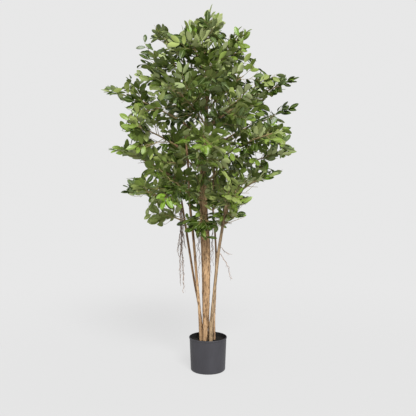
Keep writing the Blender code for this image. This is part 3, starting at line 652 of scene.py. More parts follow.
def ring_places(route, radii, sides):
    """Places round each point of a route, ring by ring, with no twist from ring to ring."""
    route = np.array([tuple(place) for place in route])
    steps = unit_rows(np.diff(route, axis=0))
    along = unit_rows(np.vstack([steps[:1], steps[:-1] + steps[1:], steps[-1:]]))
    side, carried = np.array(level_side(Vector(along[0]))), []
    for direction in along:
        side = side - direction * side.dot(direction)
        side = side / np.linalg.norm(side)
        carried.append(side)
    over = np.cross(along, carried)
    x, y = np.array(circle(sides)).T[:, None, :, None]
    out = np.array(carried)[:, None, :] * x + over[:, None, :] * y
    return (route[:, None, :] + out * np.array(radii).reshape(len(route), -1, 1)).reshape(-1, 3)


def knot_limb(knots):
    """The places and the radii of knots."""
    return [Vector(knot[:3]) for knot in knots], [knot[3] for knot in knots]


def smooth_route(knots, step):
    """A smooth route through the knots, with points about a step apart, and the radii along it."""
    places, radii = knot_limb(knots)
    route, along = [], []
    last = len(places) - 1
    for i in range(last):
        before, a, b, after = (places[k] for k in (max(i - 1, 0), i, i + 1, min(i + 2, last)))
        squared, cubed = 2 * before - 5 * a + 4 * b - after, 3 * a - 3 * b + after - before
        count = max(1, round((b - a).length / step))
        for k in range(count):
            t = k / count
            route.append((2 * a + (b - before) * t + squared * t**2 + cubed * t**3) / 2)
            along.append(radii[i] + (radii[i + 1] - radii[i]) * t)
    return route + places[-1:], along + radii[-1:]


def between(first, final, k, steps):
    """The value that is k steps of the way from the first to the final one."""
    return first + (final - first) * k / steps


def lengths_along(points):
    """The length of a route up to each of its points."""
    return [0.0, *accumulate((b - a).length for a, b in zip(points, points[1:]))]


def tapered(points, first, final):
    """A limb along the points, with a radius that changes evenly from the first to the final."""
    lengths = lengths_along(points)
    return points, [between(first, final, length, lengths[-1]) for length in lengths]


def stretches(limb):
    """Both ends and both radii of each straight stretch of a limb."""
    points, radii = limb
    return zip(points, points[1:], radii, radii[1:])


def part_way(a, b, ra, rb, t):
    return a.lerp(b, t), (b - a).normalized(), ra + (rb - ra) * t


def at_height(limb, height):
    """The middle, direction and radius of a stem at a height, or of its tip."""
    for a, b, ra, rb in stretches(limb):
        if a.z <= height < b.z:
            return part_way(a, b, ra, rb, (height - a.z) / (b.z - a.z))
    return part_way(a, b, ra, rb, 1.0)


def along_limb(limb, share):
    """The place, direction and radius at a share of a limb's length."""
    left = share * sum((b - a).length for a, b, _, _ in stretches(limb))
    for a, b, ra, rb in stretches(limb):
        length = (b - a).length
        if left <= length:
            break
        left -= length
    return part_way(a, b, ra, rb, min(left / length, 1.0))


def level_side(direction):
    """The level direction square to a direction, or a fixed one where that is nearly upright."""
    return LEVEL if abs(direction.z) > NEARLY_UPRIGHT else UP.cross(direction).normalized()


def square_part(direction, along):
    """The unit direction of what a direction has square to another one."""
    return (direction - along * direction.dot(along)).normalized()


def away_from(direction, turn):
    """The direction square to another one, turned about it from its level side."""
    side = level_side(direction)
    return side * math.cos(turn) + direction.cross(side) * math.sin(turn)


def sprout(direction, angle, turn):
    """The direction that leaves another one by an angle, to the side that the turn gives."""
    return (direction * math.cos(angle) + away_from(direction, turn) * math.sin(angle)).normalized()


def bezier(a, b, c, t):
    return a * (1 - t) ** 2 + b * 2 * t * (1 - t) + c * t**2


def stem_limbs():
    """The route and radii of each stem. The first stretch is upright, so that its foot is level."""
    limbs = {}
    for name, knots in STEMS.items():
        route, radii = smooth_route(knots, STEM_STEP)
        limbs[name] = (route[:1] + [route[0] + UP * UPRIGHT_FOOT] + route[1:], radii[:1] + radii)
    return limbs


def mass_limbs(mass, stems, bough_steps, stem_steps):
    """A mass's bough, or None, and its own stem, both on one arching line from the carrier."""
    carrier, height, reach, _, share = MASSES[mass]
    reach = Vector(reach)
    middle, along, radius = at_height(stems[carrier], height)
    rooted, start = [], middle + along * TOUCH
    if middle != stems[carrier][0][-1]:
        rooted, start = [middle], middle + square_part(reach - middle, along) * (radius + COLLAR)
    bend = start.lerp(reach, 0.5) + UP * (ARCH * (reach - start).length)
    leafless = 1.0 - TIP_SPRAY_ROOM * SPRAY_LENGTH / (reach - start).length

    def arch(first, final, steps):
        return [bezier(start, bend, reach, between(first, final, k, steps)) for k in range(steps + 1)]

    if not share:
        return None, tapered(rooted + arch(0.0, leafless, stem_steps), JOINT_RADIUS, STEM_TIP_RADIUS)
    joint = bezier(start, bend, reach, share)
    onward = ((bend - start) * (1 - share) + (reach - bend) * share).normalized()
    bough = rooted + arch(0.0, share, bough_steps)[:-1] + [joint - onward * JOINT_RADIUS, joint]
    stem = [joint + onward * TOUCH, joint + onward * JOINT_RADIUS] + arch(share, leafless, stem_steps)[1:]
    return tapered(bough, BOUGH_RADIUS, JOINT_RADIUS), tapered(stem, JOINT_RADIUS, STEM_TIP_RADIUS)


class Space:
    """The room of one mass: a blunt ellipsoid from its carrier's middle to its reach, cut off by a
    plane towards each neighbour.
    """

    def __init__(self, mass, stems):
        carrier, height, reach, half_width, _ = MASSES[mass]
        first, reach = at_height(stems[carrier], height)[0], Vector(reach)
        along = (reach - first).normalized()
        side = level_side(along)
        self.centre = first.lerp(reach, 0.5)
        self.axes = (along, side, along.cross(side))
        self.halves = ((reach - first).length / 2 * SPACE_OVERHANG, half_width, half_width * FLATTEN)
        self.normals, self.limits = [], []

    def support(self, normal):
        """How far the ellipsoid reaches from its centre along a direction."""
        power = SPACE_SQUARENESS / (SPACE_SQUARENESS - 1)
        parts = (abs(half * axis.dot(normal)) ** power for axis, half in zip(self.axes, self.halves))
        return sum(parts) ** (1 / power)

    def face(self, other):
        """Adds the plane that parts this space from another one, between the two by their sizes."""
        offset = other.centre - self.centre
        normal = offset.normalized()
        mine, theirs = self.support(normal), other.support(normal)
        limit = self.centre.dot(normal) + offset.length * mine / (mine + theirs)
        self.normals.append(normal)
        self.limits.append(limit - SPACE_GAP / 2)

    def holds(self, places):
        shares = np.abs((places - np.array(self.centre)) @ np.array(self.axes).T) / self.halves
        inside = (shares**SPACE_SQUARENESS).sum(1) <= 1.0
        short = (places @ np.array(self.normals).T <= self.limits).all(1)
        return bool((inside & short).all())


def mass_spaces(stems):
    spaces = {mass: Space(mass, stems) for mass in MASSES}
    for space, other in permutations(spaces.values(), 2):
        space.face(other)
    return spaces


class Bark:
    """The straight stretches of every limb, to tell whether a twig or a leaf keeps clear of them."""

    def __init__(self, limbs):
        rows = [(name, *a, *b, max(ra, rb)) for name in limbs for a, b, ra, rb in stretches(limbs[name])]
        numbers = np.array([row[1:] for row in rows])
        self.owners = np.array([row[0] for row in rows])
        self.first, self.radius = numbers[:, :3], numbers[:, 6]
        self.step = numbers[:, 3:6] - self.first

    def clear(self, places, gap, owners):
        """True if every place keeps the gap from all bark but the owners'."""
        others = ~np.isin(self.owners, owners)
        step = self.step[others]
        offset = places[:, None, :] - self.first[others]
        t = np.clip((offset * step).sum(2) / (step * step).sum(1), 0.0, 1.0)
        clearances = np.linalg.norm(offset - t[:, :, None] * step, axis=2)
        return bool((clearances > self.radius[others] + gap).all())


def spray_places(spray, first=0.0):
    """Places over a spray's outline, from a share of its length on."""
    foot, direction, side, face, length = spray
    half_width = SPRAY_WIDTH * length / SPRAY_LENGTH / 2
    along = np.array([share for share in SPRAY_STATIONS if share >= first])
    full = np.minimum(along / SPRAY_WIDEST, (1 - along) / (1 - SPRAY_WIDEST))
    across = np.linspace(-1.0, 1.0, SPRAY_COLUMNS)[:, None] * full
    places = np.array(direction) * (along * length)[None, :, None]
    places = places + np.array(side) * (across * half_width)[:, :, None]
    places = places + np.array(face) * (np.abs(across) * SPRAY_FOLD)[:, :, None]
    return np.array(foot) + places.reshape(-1, 3)


def line_places(a, b, first=0.0):
    """Places along a straight line, from a share of its length on."""
    shares = np.linspace(first, 1.0, math.ceil((b - a).length * (1 - first) / SPRAYS_APART) + 1)
    return np.array(a) + shares[:, None] * np.array(b - a)


def apart(places, others, gap=SPRAYS_APART):
    return bool(((places[:, None, :] - others) ** 2).sum(2).min() > gap**2)


def grow(mass, bough, stem, space, bark):
    """The twigs of a mass, as (foot, tip, radius), and its sprays, as (foot, direction, side, face,
    length, whether it is a tip): those of the solids by their own rule, then finer ones between.
    """
    draw = random.Random(mass)
    twigs, sprays, owners = [], [], [mass]
    if not MASSES[mass][4]:
        stem = (stem[0][1:], stem[1][1:])
    taken = [line_places(a, b) for a, b in zip(stem[0], stem[0][1:])]

    def fits(places, gap):
        return space.holds(places) and bark.clear(places, gap, owners)

    def add_spray(grade, place, direction, angle, turn, tip=False, swing=Vector()):
        share, gap = grade
        for k in range(SPRAY_TRIES):
            heading = sprout(direction, angle, turn + draw.uniform(-SPRAY_TURN_SPREAD, SPRAY_TURN_SPREAD))
            side = Matrix.Rotation(draw.uniform(-SPRAY_LEAN, SPRAY_LEAN), 3, heading) @ level_side(heading)
            shrunk = 1.0 - SPRAY_SHRINK * k / SPRAY_TRIES
            length = SPRAY_LENGTH * draw.uniform(*SPRAY_LENGTH_SHARES) * shrunk * share
            spray = (place - heading * SPRAY_SINK, heading, side, heading.cross(side), length)
            free = spray_places(spray, SPRAY_FREE_FROM)
            if fits(spray_places(spray), SPRAY_GAP) and apart(free, np.vstack(taken), gap):
                sprays.append((spray[0] + swing, *spray[1:], tip))
                taken.append(spray_places(spray, SPRAY_TAKES_FROM))
                return

    def add_twig(limb, share, turn):
        foot, direction, radius = along_limb(limb, share)
        full = between(*TWIG_LENGTHS, share, 1)
        for k in range(TWIG_TRIES):
            angle = draw.uniform(*TWIG_ANGLES)
            heading = sprout(direction, angle, turn + draw.uniform(-TWIG_TURN_SPREAD, TWIG_TURN_SPREAD))
            tip = foot + heading * full * (1.0 - TWIG_SHRINK * k / TWIG_TRIES)
            places = line_places(foot, tip, TWIG_FREE_FROM)
            if fits(places, TWIG_GAP) and apart(places[2:], np.vstack(taken)):
                twigs.append((foot, tip, min(TWIG_RADIUS, radius * TWIG_IN_STEM)))
                taken.append(places)
                return

    def add_twigs(limb, shares, count):
        first_turn = draw.uniform(0.0, math.tau)
        for k in range(count):
            add_twig(limb, between(*shares, k, count - 1), first_turn + k * TWIG_TURN)

    def add_tips(grade, twigs):
        for foot, tip, _ in twigs:
            heading = (tip - foot).normalized()
            angle = draw.uniform(0.0, TIP_SPRAY_ANGLE)
            add_spray(grade, tip - heading * SPRAY_SINK, heading, angle, 0.0, True)

    def add_sides(grade, limb, wanted, rounds):
        for k in range(rounds * wanted):
            if len(sprays) >= wanted:
                break
            share = draw.uniform(*SPRAY_SHARES)
            if k % STEM_SPRAY_EVERY:
                foot, tip, _ = twigs[k % len(twigs)]
                place, heading = foot.lerp(tip, share), (tip - foot).normalized()
                swing = bow(foot, tip, share)
            else:
                place, heading, _ = along_limb(limb, share)
                swing = Vector()
            add_spray(grade, place, heading, draw.uniform(*SPRAY_ANGLES), math.pi * (k % 2), False, swing)

    add_twigs(stem, TWIG_SHARES, TWIGS)
    tip, direction, _ = along_limb(stem, STEM_TIP)
    add_spray(COARSE, tip, direction, 0.0, 0.0, True)
    add_tips(COARSE, twigs)
    add_sides(COARSE, stem, SPRAYS, SPRAY_ROUNDS)

    limb, coarse = stem, len(twigs)
    if bough:
        owners.append("bough_" + mass)
        limb = (bough[0][1:] + stem[0], bough[1][1:] + stem[1])
    add_twigs(limb, MORE_TWIG_SHARES, MORE_TWIGS)
    add_tips(FINE, twigs[coarse:])
    add_sides(FINE, limb, len(sprays) + MORE_SPRAYS, MORE_ROUNDS)
    if mass in THINNED:
        sprays = [spray for spray in sprays if draw.random() < THINNED[mass]]
    for share, tip, spread in SPRIGS.get(mass, ()):
        add_sprig(*along_limb(stem, share), Vector(tip), spread, twigs, sprays)
    return twigs, sprays


def add_sprig(foot, _, radius, tip, spread, twigs, sprays):
    """A twig to a chosen tip, with short sprays to both sides and one at its end."""
    face = EDGE_ON_FACE.lerp(SPRIG_FACE, spread).normalized()
    heading = (tip - foot).normalized()
    twig_tip = tip - heading * (SPRIG_SPRAY_LENGTH * SPRIG_SHARE)
    twigs.append((foot, twig_tip, min(TWIG_RADIUS, radius * TWIG_IN_STEM)))
    for share, angle in SPRIG_SPRAYS:
        turn = angle * spread
        direction = heading * math.cos(turn) + face.cross(heading).normalized() * math.sin(turn)
        side = face.cross(direction).normalized()
        place = foot.lerp(twig_tip, share) + bow(foot, twig_tip, share)
        sprays.append((place, direction, side, direction.cross(side), SPRIG_SPRAY_LENGTH, False))


def leaf_template():
    """A leaf's points as (share along, share across, layer) rows, its faces, and each face's part: 0
    for the top, 1 for the underside and 2 for the rib. Top and underside meet along the outline.
    """
    points = [(0.0, 0.0, 0.0), (1.0, 0.0, 0.0)]
    rows = []
    for share in LEAF_ROWS:
        first = len(points)
        points += [(share, column, 1.0 - abs(column)) for column in TOP_COLUMNS]
        points.append((share, 0.0, -1.0))
        top = list(range(first, first + len(TOP_COLUMNS)))
        rows.append((top, [top[0], first + len(TOP_COLUMNS), top[-1]]))
    faces, parts = [], []
    for layer, turned in ((0, False), (1, True)):
        columns = len(rows[0][layer]) - 1
        for j in range(columns):
            strip = [row[layer][j: j + 2] for row in rows]
            made = [(0, strip[0][1], strip[0][0])]
            made += [(a[0], a[1], b[1], b[0]) for a, b in zip(strip, strip[1:])]
            made.append((strip[-1][0], strip[-1][1], 1))
            faces += [tuple(reversed(face)) if turned else face for face in made]
            parts += [1 if turned else (2 if j == columns // 2 else 0)] * len(made)
    return np.array(points), faces, parts


def outline_width(along):
    """The leaf's width at each share of its length, as a share of its greatest width."""
    fall = LEAF_BLUNTNESS * (1 - LEAF_WIDEST) / LEAF_WIDEST
    return (along / LEAF_WIDEST) ** LEAF_BLUNTNESS * ((1 - along) / (1 - LEAF_WIDEST)) ** fall


TEMPLATE, TEMPLATE_FACES, TEMPLATE_PARTS = leaf_template()
TEMPLATE_WIDTHS = outline_width(TEMPLATE[:, 0])


def leaf_shape(foot, direction, side, length, draw):
    """The places of one leaf, folded along its rib and bent down along its length."""
    along, across, layer = TEMPLATE.T
    half_width = length * draw.uniform(*LEAF_RATIOS) / 2 * TEMPLATE_WIDTHS
    fold, droop = draw.uniform(*LEAF_FOLDS), draw.uniform(*LEAF_DROOPS)
    sway = draw.uniform(-LEAF_SWAY, LEAF_SWAY)
    up = half_width * (fold * np.abs(across) - LEAF_CUP * across**2)
    up = up + layer * LEAF_THICKNESS / 2 - length * droop * along**2
    sideways = half_width * across + length * sway * along**2
    axes = np.array([direction, side, direction.cross(side)])
    return np.array(foot) + np.column_stack([length * along, sideways, up]) @ axes


def edge_x(edge, height):
    heights, places = zip(*edge)
    return np.interp(height, heights, places)


def as_seen(place):
    """The x and height where the camera sees a place in the upright plane of the pot's axis."""
    grown = CAMERA_PLACE.y / (CAMERA_PLACE.y - place.y)
    return place.x * grown, CAMERA_PLACE.z + (place.z - CAMERA_PLACE.z) * grown


def in_crown(place):
    """True if the place, as the camera sees it, is between the crown's edges and in no opening."""
    x, z = as_seen(place)
    if not edge_x(CROWN_LEFT, z) - EDGE_SLACK < x < edge_x(CROWN_RIGHT, z) + EDGE_SLACK:
        return False
    return all(math.hypot(x - sky_x, z - sky_z) > radius for sky_x, sky_z, radius in SKY_OPENINGS)


STEM_LINES = {name: knot_limb(knots) for name, knots in STEMS.items()}


def hides_stem(place):
    """True if the place is in front of a bare stretch of a stem, as the camera sees it."""
    x, z = as_seen(place)
    for stem, lowest, highest in BARE_STRETCHES:
        if lowest < z < highest:
            middle, _, radius = at_height(STEM_LINES[stem], z)
            if place.y < middle.y and abs(x - middle.x) < radius + BARE_CLEAR:
                return True
    return False


def bow(foot, tip, share):
    """How far a twig swings out from its straight line at a share of its length."""
    run = tip - foot
    away = away_from(run.normalized(), (foot.x + foot.z) * BOW_TURN)
    return away * (run.length * TWIG_BOW * 4 * share * (1 - share))


def add_leaf(leaves, twigs, tone, place, direction, normal, length, draw):
    """A leaf on its short petiole, rolled a little about its own length. None grows out of the crown."""
    side = normal.cross(direction).normalized()
    side = Matrix.Rotation(draw.uniform(-LEAF_ROLL, LEAF_ROLL), 3, direction) @ side
    foot = place + direction * PETIOLE_LENGTH
    for spot in (foot + direction * length, foot + direction * (length / 2)):
        if not in_crown(spot) or hides_stem(spot):
            return
    twigs.add_tube([place, foot + direction * PETIOLE_SUNK], PETIOLE_RADII, FINEST_SIDES, 1)
    slots = [tone * LEAF_PARTS + part for part in TEMPLATE_PARTS]
    leaves.add(leaf_shape(foot, direction, side, length, draw), TEMPLATE_FACES, slots)


def dress_spray(spray, leaves, twigs, tone_and_shade_factors, draw):
    """A thin stalk with leaves to both sides by turns and one at its tip, all of one tone."""
    foot, direction, side, face, reach, is_tip = spray
    # The mass's factors raise or lower each tone's weight, partly as painted shade and light
    weights = [TONES[name][4 if is_tip else 3] * tone_and_shade_factors.get(name, 1.0) for name in TONES]
    tone = draw.choices(range(len(TONES)), weights)[0]
    size = draw.uniform(*LEAF_LENGTHS)
    length = reach - size * STALK_LEAF_SHARE
    rise = draw.uniform(*STALK_RISES) * length

    def stalk(share):
        return foot + direction * (length * share) + UP * (rise * share**2)

    while not in_crown(stalk(1.0)):
        length *= STALK_CUT
        if length < SHORTEST_STALK:
            return

    route = [stalk(k / STALK_STEPS) for k in range(STALK_STEPS + 1)]
    twigs.add_tube(route, np.linspace(*STALK_RADII, STALK_STEPS + 1), STALK_SIDES, 1)
    count = max(FEWEST_SIDE_LEAVES, round(length * LEAVES_PER_METRE))
    first_way = draw.choice((-1, 1))
    for k in range(count):
        way = first_way * (1 - 2 * (k % 2))
        angle = draw.uniform(*SIDE_LEAF_ANGLES)
        heading = direction * math.cos(angle) + side * (way * math.sin(angle))
        heading = (heading + face * draw.uniform(*SIDE_LEAF_RAISES)).normalized()
        leaf_length = size * draw.uniform(*LEAF_LENGTH_SPREAD)
        place = stalk(between(*SIDE_LEAF_SHARES, k, count - 1))
        add_leaf(leaves, twigs, tone, place, heading, face, leaf_length, draw)
    add_leaf(leaves, twigs, tone, route[-1], (route[-1] - route[-2]).normalized(), face, size, draw)


def bark_shapes(limb, sides, seed):
    """A limb with the relief of bark: long ridges, swellings and fine grain."""
    route, radii = limb

    def relief(rates, x, y, length, shift_x, shift_y):
        turns, rate = rates
        return noise.noise((x * turns + shift_x, y * turns + shift_y, length * rate))

    rows = []
    for length, radius in zip(lengths_along(route), radii):
        swell = 1.0 + NODE_SWELL * max(0.0, math.cos(math.tau * length / NODE_EVERY + seed)) ** NODE_POWER
        row = []
        for x, y in circle(sides):
            ridge = relief(RIDGES, x, y, length, seed, 0.0)
            ridge += FINE_RIDGE_SHARE * relief(FINE_RIDGES, x, y, length, 0.0, seed)
            grain = relief(GRAIN, x, y, length, 0.0, seed)
            row.append(radius * (swell + RIDGE_HEIGHT * ridge) + GRAIN_HEIGHT * grain)
        rows.append(row)
    shapes = Shapes()
    shapes.add_tube(route, rows, sides)
    return shapes


def build_stems():
    """A mesh with the bark's relief for each stem, sunk a little into the filling."""
    for seed, (name, knots) in enumerate(STEMS.items()):
        route, radii = smooth_route(knots, BARK_STEP)
        limb = ([route[0] - UP * BARK_SUNK] + route, radii[:1] + radii)
        shapes = bark_shapes(limb, BARK_SIDES.get(name, OTHER_BARK_SIDES), seed * STEM_SEEDS)
        if name == "trunk":
            shapes.add_tube(*smooth_route(SEAM_ROOT, BARK_STEP), STEM_SIDES)
        shapes.piece("bark_" + name, [wood_material("wood_" + name, WOODS[name])], name, "stem_wood")


def build_boughs(stems):
    wood = wood_material("wood_boughs", BOUGH_WOOD)
    for seed, mass in enumerate(MASSES):
        bough, _ = mass_limbs(mass, stems, FINE_BOUGH_STEPS, FINE_STEM_STEPS)
        if bough:
            shapes = bark_shapes(bough, OTHER_BARK_SIDES, seed * BOUGH_SEEDS)
            shapes.piece("bark_bough_" + mass, [wood], "bough_" + mass, "stem_wood")


def leaf_materials():
    """The top, underside and rib of each tone, in the order of the tones."""
    materials = []
    for name, (top, under, roughness, _, _) in TONES.items():
        rib = [a + (b - a) * RIB_BLEND for a, b in zip(top, RIB_COLOR)]
        materials.append(new_material(f"leaf_{name}_top", top, roughness, LEAF_SPECULAR))
        materials.append(new_material(f"leaf_{name}_underside", under, *UNDERSIDE_GLOSS))
        materials.append(new_material(f"leaf_{name}_rib", rib, roughness, LEAF_SPECULAR))
    for material in materials:
        add_skin(material, LEAF_SKIN)
    return materials


def twig_materials():
    materials = [new_material(name, color, *gloss) for name, (color, gloss) in TWIG_FINISHES.items()]
    for material in materials:
        add_skin(material, TWIG_SKIN)
    return materials


def add_bowed_twig(shapes, foot, tip, radius):
    """A twig that bows a little, cut short where it would stand out of the crown."""
    reach = 1.0
    while reach > SHORTEST_TWIG and not in_crown(foot.lerp(tip, reach)):
        reach *= TWIG_CUT
    shares = np.linspace(0.0, reach, TWIG_BEND_STEPS + 1)
    route = [foot.lerp(tip, share) + bow(foot, tip, share) for share in shares]
    radii = np.linspace(1.0, TWIG_TIP_SHARE, TWIG_BEND_STEPS + 1) * radius * TWIG_SLIM
    shapes.add_tube(route, radii, TWIG_SIDES)


def build_masses(stems, bunches):
    """Twigs and leaves of every mass. All the rule's limbs are gathered first, for clearances."""
    limbs = dict(stems)
    for mass in MASSES:
        bough, limbs[mass] = mass_limbs(mass, stems, BOUGH_STEPS, MASS_STEM_STEPS)
        if bough:
            limbs["bough_" + mass] = bough
    for name, (_, strands) in bunches.items():
        limbs.update((f"{name}_{i}", strand) for i, strand in enumerate(strands))
    spaces, bark = mass_spaces(stems), Bark(limbs)
    greens, woods = leaf_materials(), twig_materials()
    for mass in MASSES:
        twigs, sprays = grow(mass, limbs.get("bough_" + mass), limbs[mass], spaces[mass], bark)
        leaf_shapes, twig_shapes = Shapes(), Shapes()
        _, stem = mass_limbs(mass, stems, FINE_BOUGH_STEPS, FINE_STEM_STEPS)
        twig_shapes.add_tube(*stem, STEM_SIDES)
        for twig in twigs:
            add_bowed_twig(twig_shapes, *twig)
        draw = random.Random("leaves of " + mass)
        for spray in sprays:
            dress_spray(spray, leaf_shapes, twig_shapes, TONE_AND_SHADE_FACTORS.get(mass, {}), draw)
        leaf_shapes.piece("leaves_" + mass, greens, mass, "foliage")
        twig_shapes.piece("twigs_" + mass, woods, mass, "stem_wood")


def root_limbs(stems):
    """The knot and the strands of each bunch of aerial roots."""
    bunches = {}
    for name, (carrier, height, facing, ends) in ROOT_BUNCHES.items():
        draw = random.Random(name)
        middle, along, radius = at_height(stems[carrier], height)
        out = square_part(Vector((*facing, 0.0)), along)
        head = middle + out * (radius + ROOT_HEAD)
        knot = tapered([middle, middle + out * (radius + KNOT_LENGTH)], *KNOT_RADII)
        strands = []
        for end in ends:
            end = head + Vector(end)
            bend = head.lerp(end, ROOT_BEND_SHARE) + out * ROOT_BEND_OUT
            phase = draw.uniform(0.0, math.tau)
            route = []
            for t in (k / ROOT_STEPS for k in range(ROOT_STEPS + 1)):
                turn_x, turn_y = (phase + rate * t for rate in ROOT_WAVE_RATES)
                sway = Vector((math.sin(turn_x), math.cos(turn_y), 0.0)) * (ROOT_WAVE * t)
                route.append(bezier(head, bend, end, t) + sway)
            strands.append(tapered(route, *ROOT_RADII))
        bunches[name] = (knot, strands)
    return bunches


def root_hair(route, reach, seed):
    """A fine root that winds about a share of a strand's route."""
    smooth, _ = smooth_route([(*place, 0.0) for place in route], HAIR_STEP)
    hair = []
    for k, place in enumerate(smooth[: max(HAIR_STRAIGHT, int(len(smooth) * reach))]):
        along = place.z * HAIR_RATE
        sway = Vector((noise.noise((seed, 0.0, along)), noise.noise((0.0, seed, along)), 0.0))
        hair.append(place + sway * (HAIR_SWING * min(1.0, k / HAIR_STRAIGHT)))
    return hair


def add_side_hair(shapes, hair, draw):
    """A short thin hair that hangs from somewhere along a fine root."""
    foot = hair[draw.randrange(HAIR_STRAIGHT // 2, len(hair))]
    turn, drop = draw.uniform(0.0, math.tau), draw.uniform(*SIDE_HAIR_LENGTHS)
    away = Vector((math.cos(turn), math.sin(turn), 0.0)) * drop
    tip = foot + away * SIDE_HAIR_SPREAD - UP * drop
    route = [foot, foot.lerp(tip, 0.5) + away * SIDE_HAIR_BEND, tip]
    shapes.add_tube(route, np.linspace(*SIDE_HAIR_RADII, len(route)), FINEST_SIDES)


def build_roots(bunches, stems):
    """Each strand of the solids as fine roots that wind about it, with short side hairs."""
    brown = root_material()
    for name, (knot, strands) in bunches.items():
        draw = random.Random("hairs of " + name)
        carrier, height, _, _ = ROOT_BUNCHES[name]
        hairs, rises = HAIR_BUNCHES[name]
        shapes = Shapes()
        shapes.add_tube(*knot, STEM_SIDES)
        for (route, _), rise in zip(strands, rises):
            if rise:
                top, _, _ = at_height(stems[carrier], height + rise)
                lift = top - knot[0][0]
                route = [top] + [place + lift * (1 - k / ROOT_STEPS) ** 2 for k, place in enumerate(route)]
            for _ in range(hairs):
                hair = root_hair(route, draw.uniform(*HAIR_REACHES), draw.uniform(0.0, HAIR_SEEDS))
                shapes.add_tube(hair, np.linspace(*HAIR_RADII, len(hair)), HAIR_SIDES)
                for _ in range(len(hair) // STEPS_PER_SIDE_HAIR):
                    add_side_hair(shapes, hair, draw)
        shapes.piece(name + "_hairs", [brown], name, "aerial_root")


def rounded(profile, radius):
    """A profile with each inner corner rounded off, by less than half of each edge."""
    places = [Vector(place) for place in profile]
    made = [places[0]]
    for before, corner, after in zip(places, places[1:], places[2:]):
        cut = min(radius, (before - corner).length / EDGE_PARTS, (after - corner).length / EDGE_PARTS)
        a, b = (corner + (place - corner).normalized() * cut for place in (before, after))
        made += [bezier(a, corner, b, k / ROUNDING_STEPS) for k in range(ROUNDING_STEPS + 1)]
    return made + [places[-1]]


def turned_shape(profile, sides, inner_rings):
    """A closed turned solid from a profile that starts and ends on the axis. Its first rings are the
    inner side, which has the second material.
    """
    places = [(0.0, 0.0, profile[0].y), (0.0, 0.0, profile[-1].y)]
    for point in profile[1:-1]:
        places += [(point.x * x, point.x * y, point.y) for x, y in circle(sides)]
    last = len(places) - sides
    faces = [(0, 2 + j, 2 + (j + 1) % sides) for j in range(sides)]
    for first in range(2, last, sides):
        faces += ring_faces(first, sides)
    faces += [(1, last + (j + 1) % sides, last + j) for j in range(sides)]
    inner = sides * (inner_rings + 1)
    shapes = Shapes()
    shapes.add(places, faces, [1] * inner + [0] * (len(faces) - inner))
    return shapes


def build_pot():
    neck = POT_HEIGHT - RIM_HEIGHT
    profile = (
        (0.0, POT_FLOOR),
        (FOOT_RADIUS - WALL, POT_FLOOR),
        (RIM_RADIUS - RIM_LIP - WALL, POT_HEIGHT),
        (RIM_RADIUS, POT_HEIGHT),
        (RIM_RADIUS, neck),
        (RIM_RADIUS - RIM_LIP, neck - RIM_LIP),
        (FOOT_RADIUS, FOOT_BEVEL),
        (FOOT_RADIUS - FOOT_BEVEL, 0.0),
        (0.0, 0.0),
    )
    inner_rings = 2 * (ROUNDING_STEPS + 1) - 1
    # The inner side's near-black colour is painted shade for the inside of the pot
    inside = new_material("pot_inside_painted_shade", POT_INSIDE_PAINTED_SHADE, *POT_INSIDE_GLOSS)
    shell = turned_shape(rounded(profile, EDGE_ROUNDING), POT_SIDES, inner_rings)
    shell.piece("pot_shell", [pot_material(), inside], "pot", "pot_plastic")


def build_filling():
    """The rough dark filling, lumpy on top and smooth below."""
    slope = (RIM_RADIUS - RIM_LIP - FOOT_RADIUS) / (POT_HEIGHT - POT_FLOOR)
    foot = FOOT_RADIUS - WALL - TOUCH
    radius = FOOT_RADIUS - WALL + slope * (FILL_TOP - POT_FLOOR) - TOUCH
    places = [(0.0, 0.0, FILL_TOP)]
    for i in range(1, FILL_RINGS + 1):
        ring = radius * i / FILL_RINGS
        relief = FILL_RELIEF if i < FILL_RINGS else 0.0
        for x, y in ((ring * x, ring * y) for x, y in circle(FILL_SIDES)):
            lump = sum(share * noise.noise((x * rate, y * rate, z)) for share, rate, z in FILL_LUMPS)
            places.append((x, y, FILL_TOP + relief * lump))
    base = len(places)
    places += [(foot * x, foot * y, POT_FLOOR + TOUCH) for x, y in circle(FILL_SIDES)]
    faces = [(0, 1 + j, 1 + (j + 1) % FILL_SIDES) for j in range(FILL_SIDES)]
    for first in range(1, base, FILL_SIDES):
        faces += ring_faces(first, FILL_SIDES)
    faces.append(tuple(reversed(range(base, base + FILL_SIDES))))
    shapes = Shapes()
    shapes.add(places, faces, [0] * len(faces))
    shapes.piece("pot_filling_rough", [filling_material()], "pot_filling", "pot_filling")


def build_camera():
    camera = link("camera", bpy.data.cameras.new("camera"))
    bpy.context.scene.camera = camera
    aim = CAMERA_TARGET - CAMERA_PLACE
    camera.location = CAMERA_PLACE
    camera.rotation_euler = aim.to_track_quat("-Z", "Y").to_euler()
    camera.data.sensor_width = SENSOR
    camera.data.lens = SENSOR * aim.length / FIELD_AT_TARGET


def add_sun(name, place, strength, angle):
    sun = link(name, bpy.data.lights.new(name, "SUN"))
    sun.rotation_euler = (-place).to_track_quat("-Z", "Y").to_euler()
    sun.data.energy = strength
    sun.data.angle = angle


def mix_shaders(tree, share, first, second, output):
    """Shows the second shader by a share over the first one."""
    mix = add_node(tree, "MixShader", {"Fac": share, 1: first, 2: second})
    connect(tree, tree.nodes[output], {"Surface": mix.outputs["Shader"]})


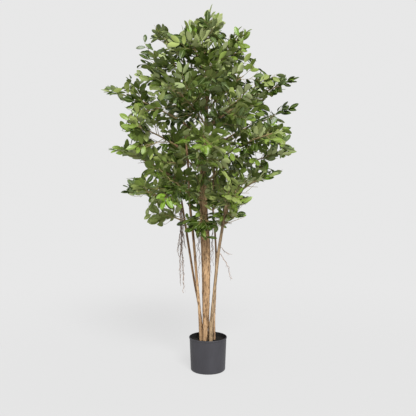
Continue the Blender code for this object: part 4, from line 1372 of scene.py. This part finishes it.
def floor_material():
    """Pale paper that glows a little and fades out to the backdrop away from the pot."""
    material = new_material("floor", (FLOOR_ALBEDO,) * 3, *FLOOR_GLOSS)
    set_shader(material, {"Emission Color": (*WHITE, 1.0), "Emission Strength": FLOOR_GLOW})
    tree = material.node_tree
    own = add_node(tree, "TexCoord", {}).outputs["Object"]
    distance = add_node(tree, "VectorMath", {0: own}, operation="LENGTH").outputs["Value"]
    limits = {"Value": distance, "From Min": FLOOR_RADIUS * FLOOR_FADES_FROM, "From Max": FLOOR_RADIUS}
    fade = add_node(tree, "MapRange", limits, interpolation_type="SMOOTHSTEP").outputs["Result"]
    paper = tree.nodes["Principled BSDF"].outputs["BSDF"]
    clear = add_node(tree, "BsdfTransparent", {}).outputs["BSDF"]
    mix_shaders(tree, fade, paper, clear, "Material Output")
    return material


def build_studio():
    """A pale floor that fades out, soft light from the front and both sides, and a plain backdrop."""
    mesh = bpy.data.meshes.new("floor")
    places = [(FLOOR_RADIUS * x, FLOOR_RADIUS * y, 0.0) for x, y in circle(FLOOR_SIDES)]
    mesh.from_pydata(places, [], [list(range(FLOOR_SIDES))])
    mesh.materials.append(floor_material())
    link("floor", mesh)
    for name, sun in SUNS.items():
        add_sun(name, *sun)

    world = bpy.data.worlds.new("studio")
    bpy.context.scene.world = world
    world.use_nodes = True
    tree = world.node_tree
    light = tree.nodes["Background"]
    connect(tree, light, {"Color": (*WHITE, 1.0), "Strength": WORLD_LIGHT})
    shown = add_node(tree, "Background", {"Color": (BACKDROP, BACKDROP, BACKDROP, 1.0)})
    seen = add_node(tree, "LightPath", {}).outputs["Is Camera Ray"]
    mix_shaders(tree, seen, light.outputs["Background"], shown.outputs["Background"], "World Output")
    bpy.context.scene.view_settings.view_transform = "Standard"


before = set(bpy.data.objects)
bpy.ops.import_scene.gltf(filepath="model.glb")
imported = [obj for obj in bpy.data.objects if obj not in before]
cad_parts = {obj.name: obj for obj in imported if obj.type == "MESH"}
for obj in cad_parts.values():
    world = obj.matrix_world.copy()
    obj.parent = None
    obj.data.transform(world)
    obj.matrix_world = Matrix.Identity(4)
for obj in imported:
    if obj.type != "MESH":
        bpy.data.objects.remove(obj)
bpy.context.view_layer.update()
build_camera()
build_studio()
build_pot()
build_filling()
stem_routes = stem_limbs()
root_bunches = root_limbs(stem_routes)
build_stems()
build_boughs(stem_routes)
build_roots(root_bunches, stem_routes)
build_masses(stem_routes, root_bunches)
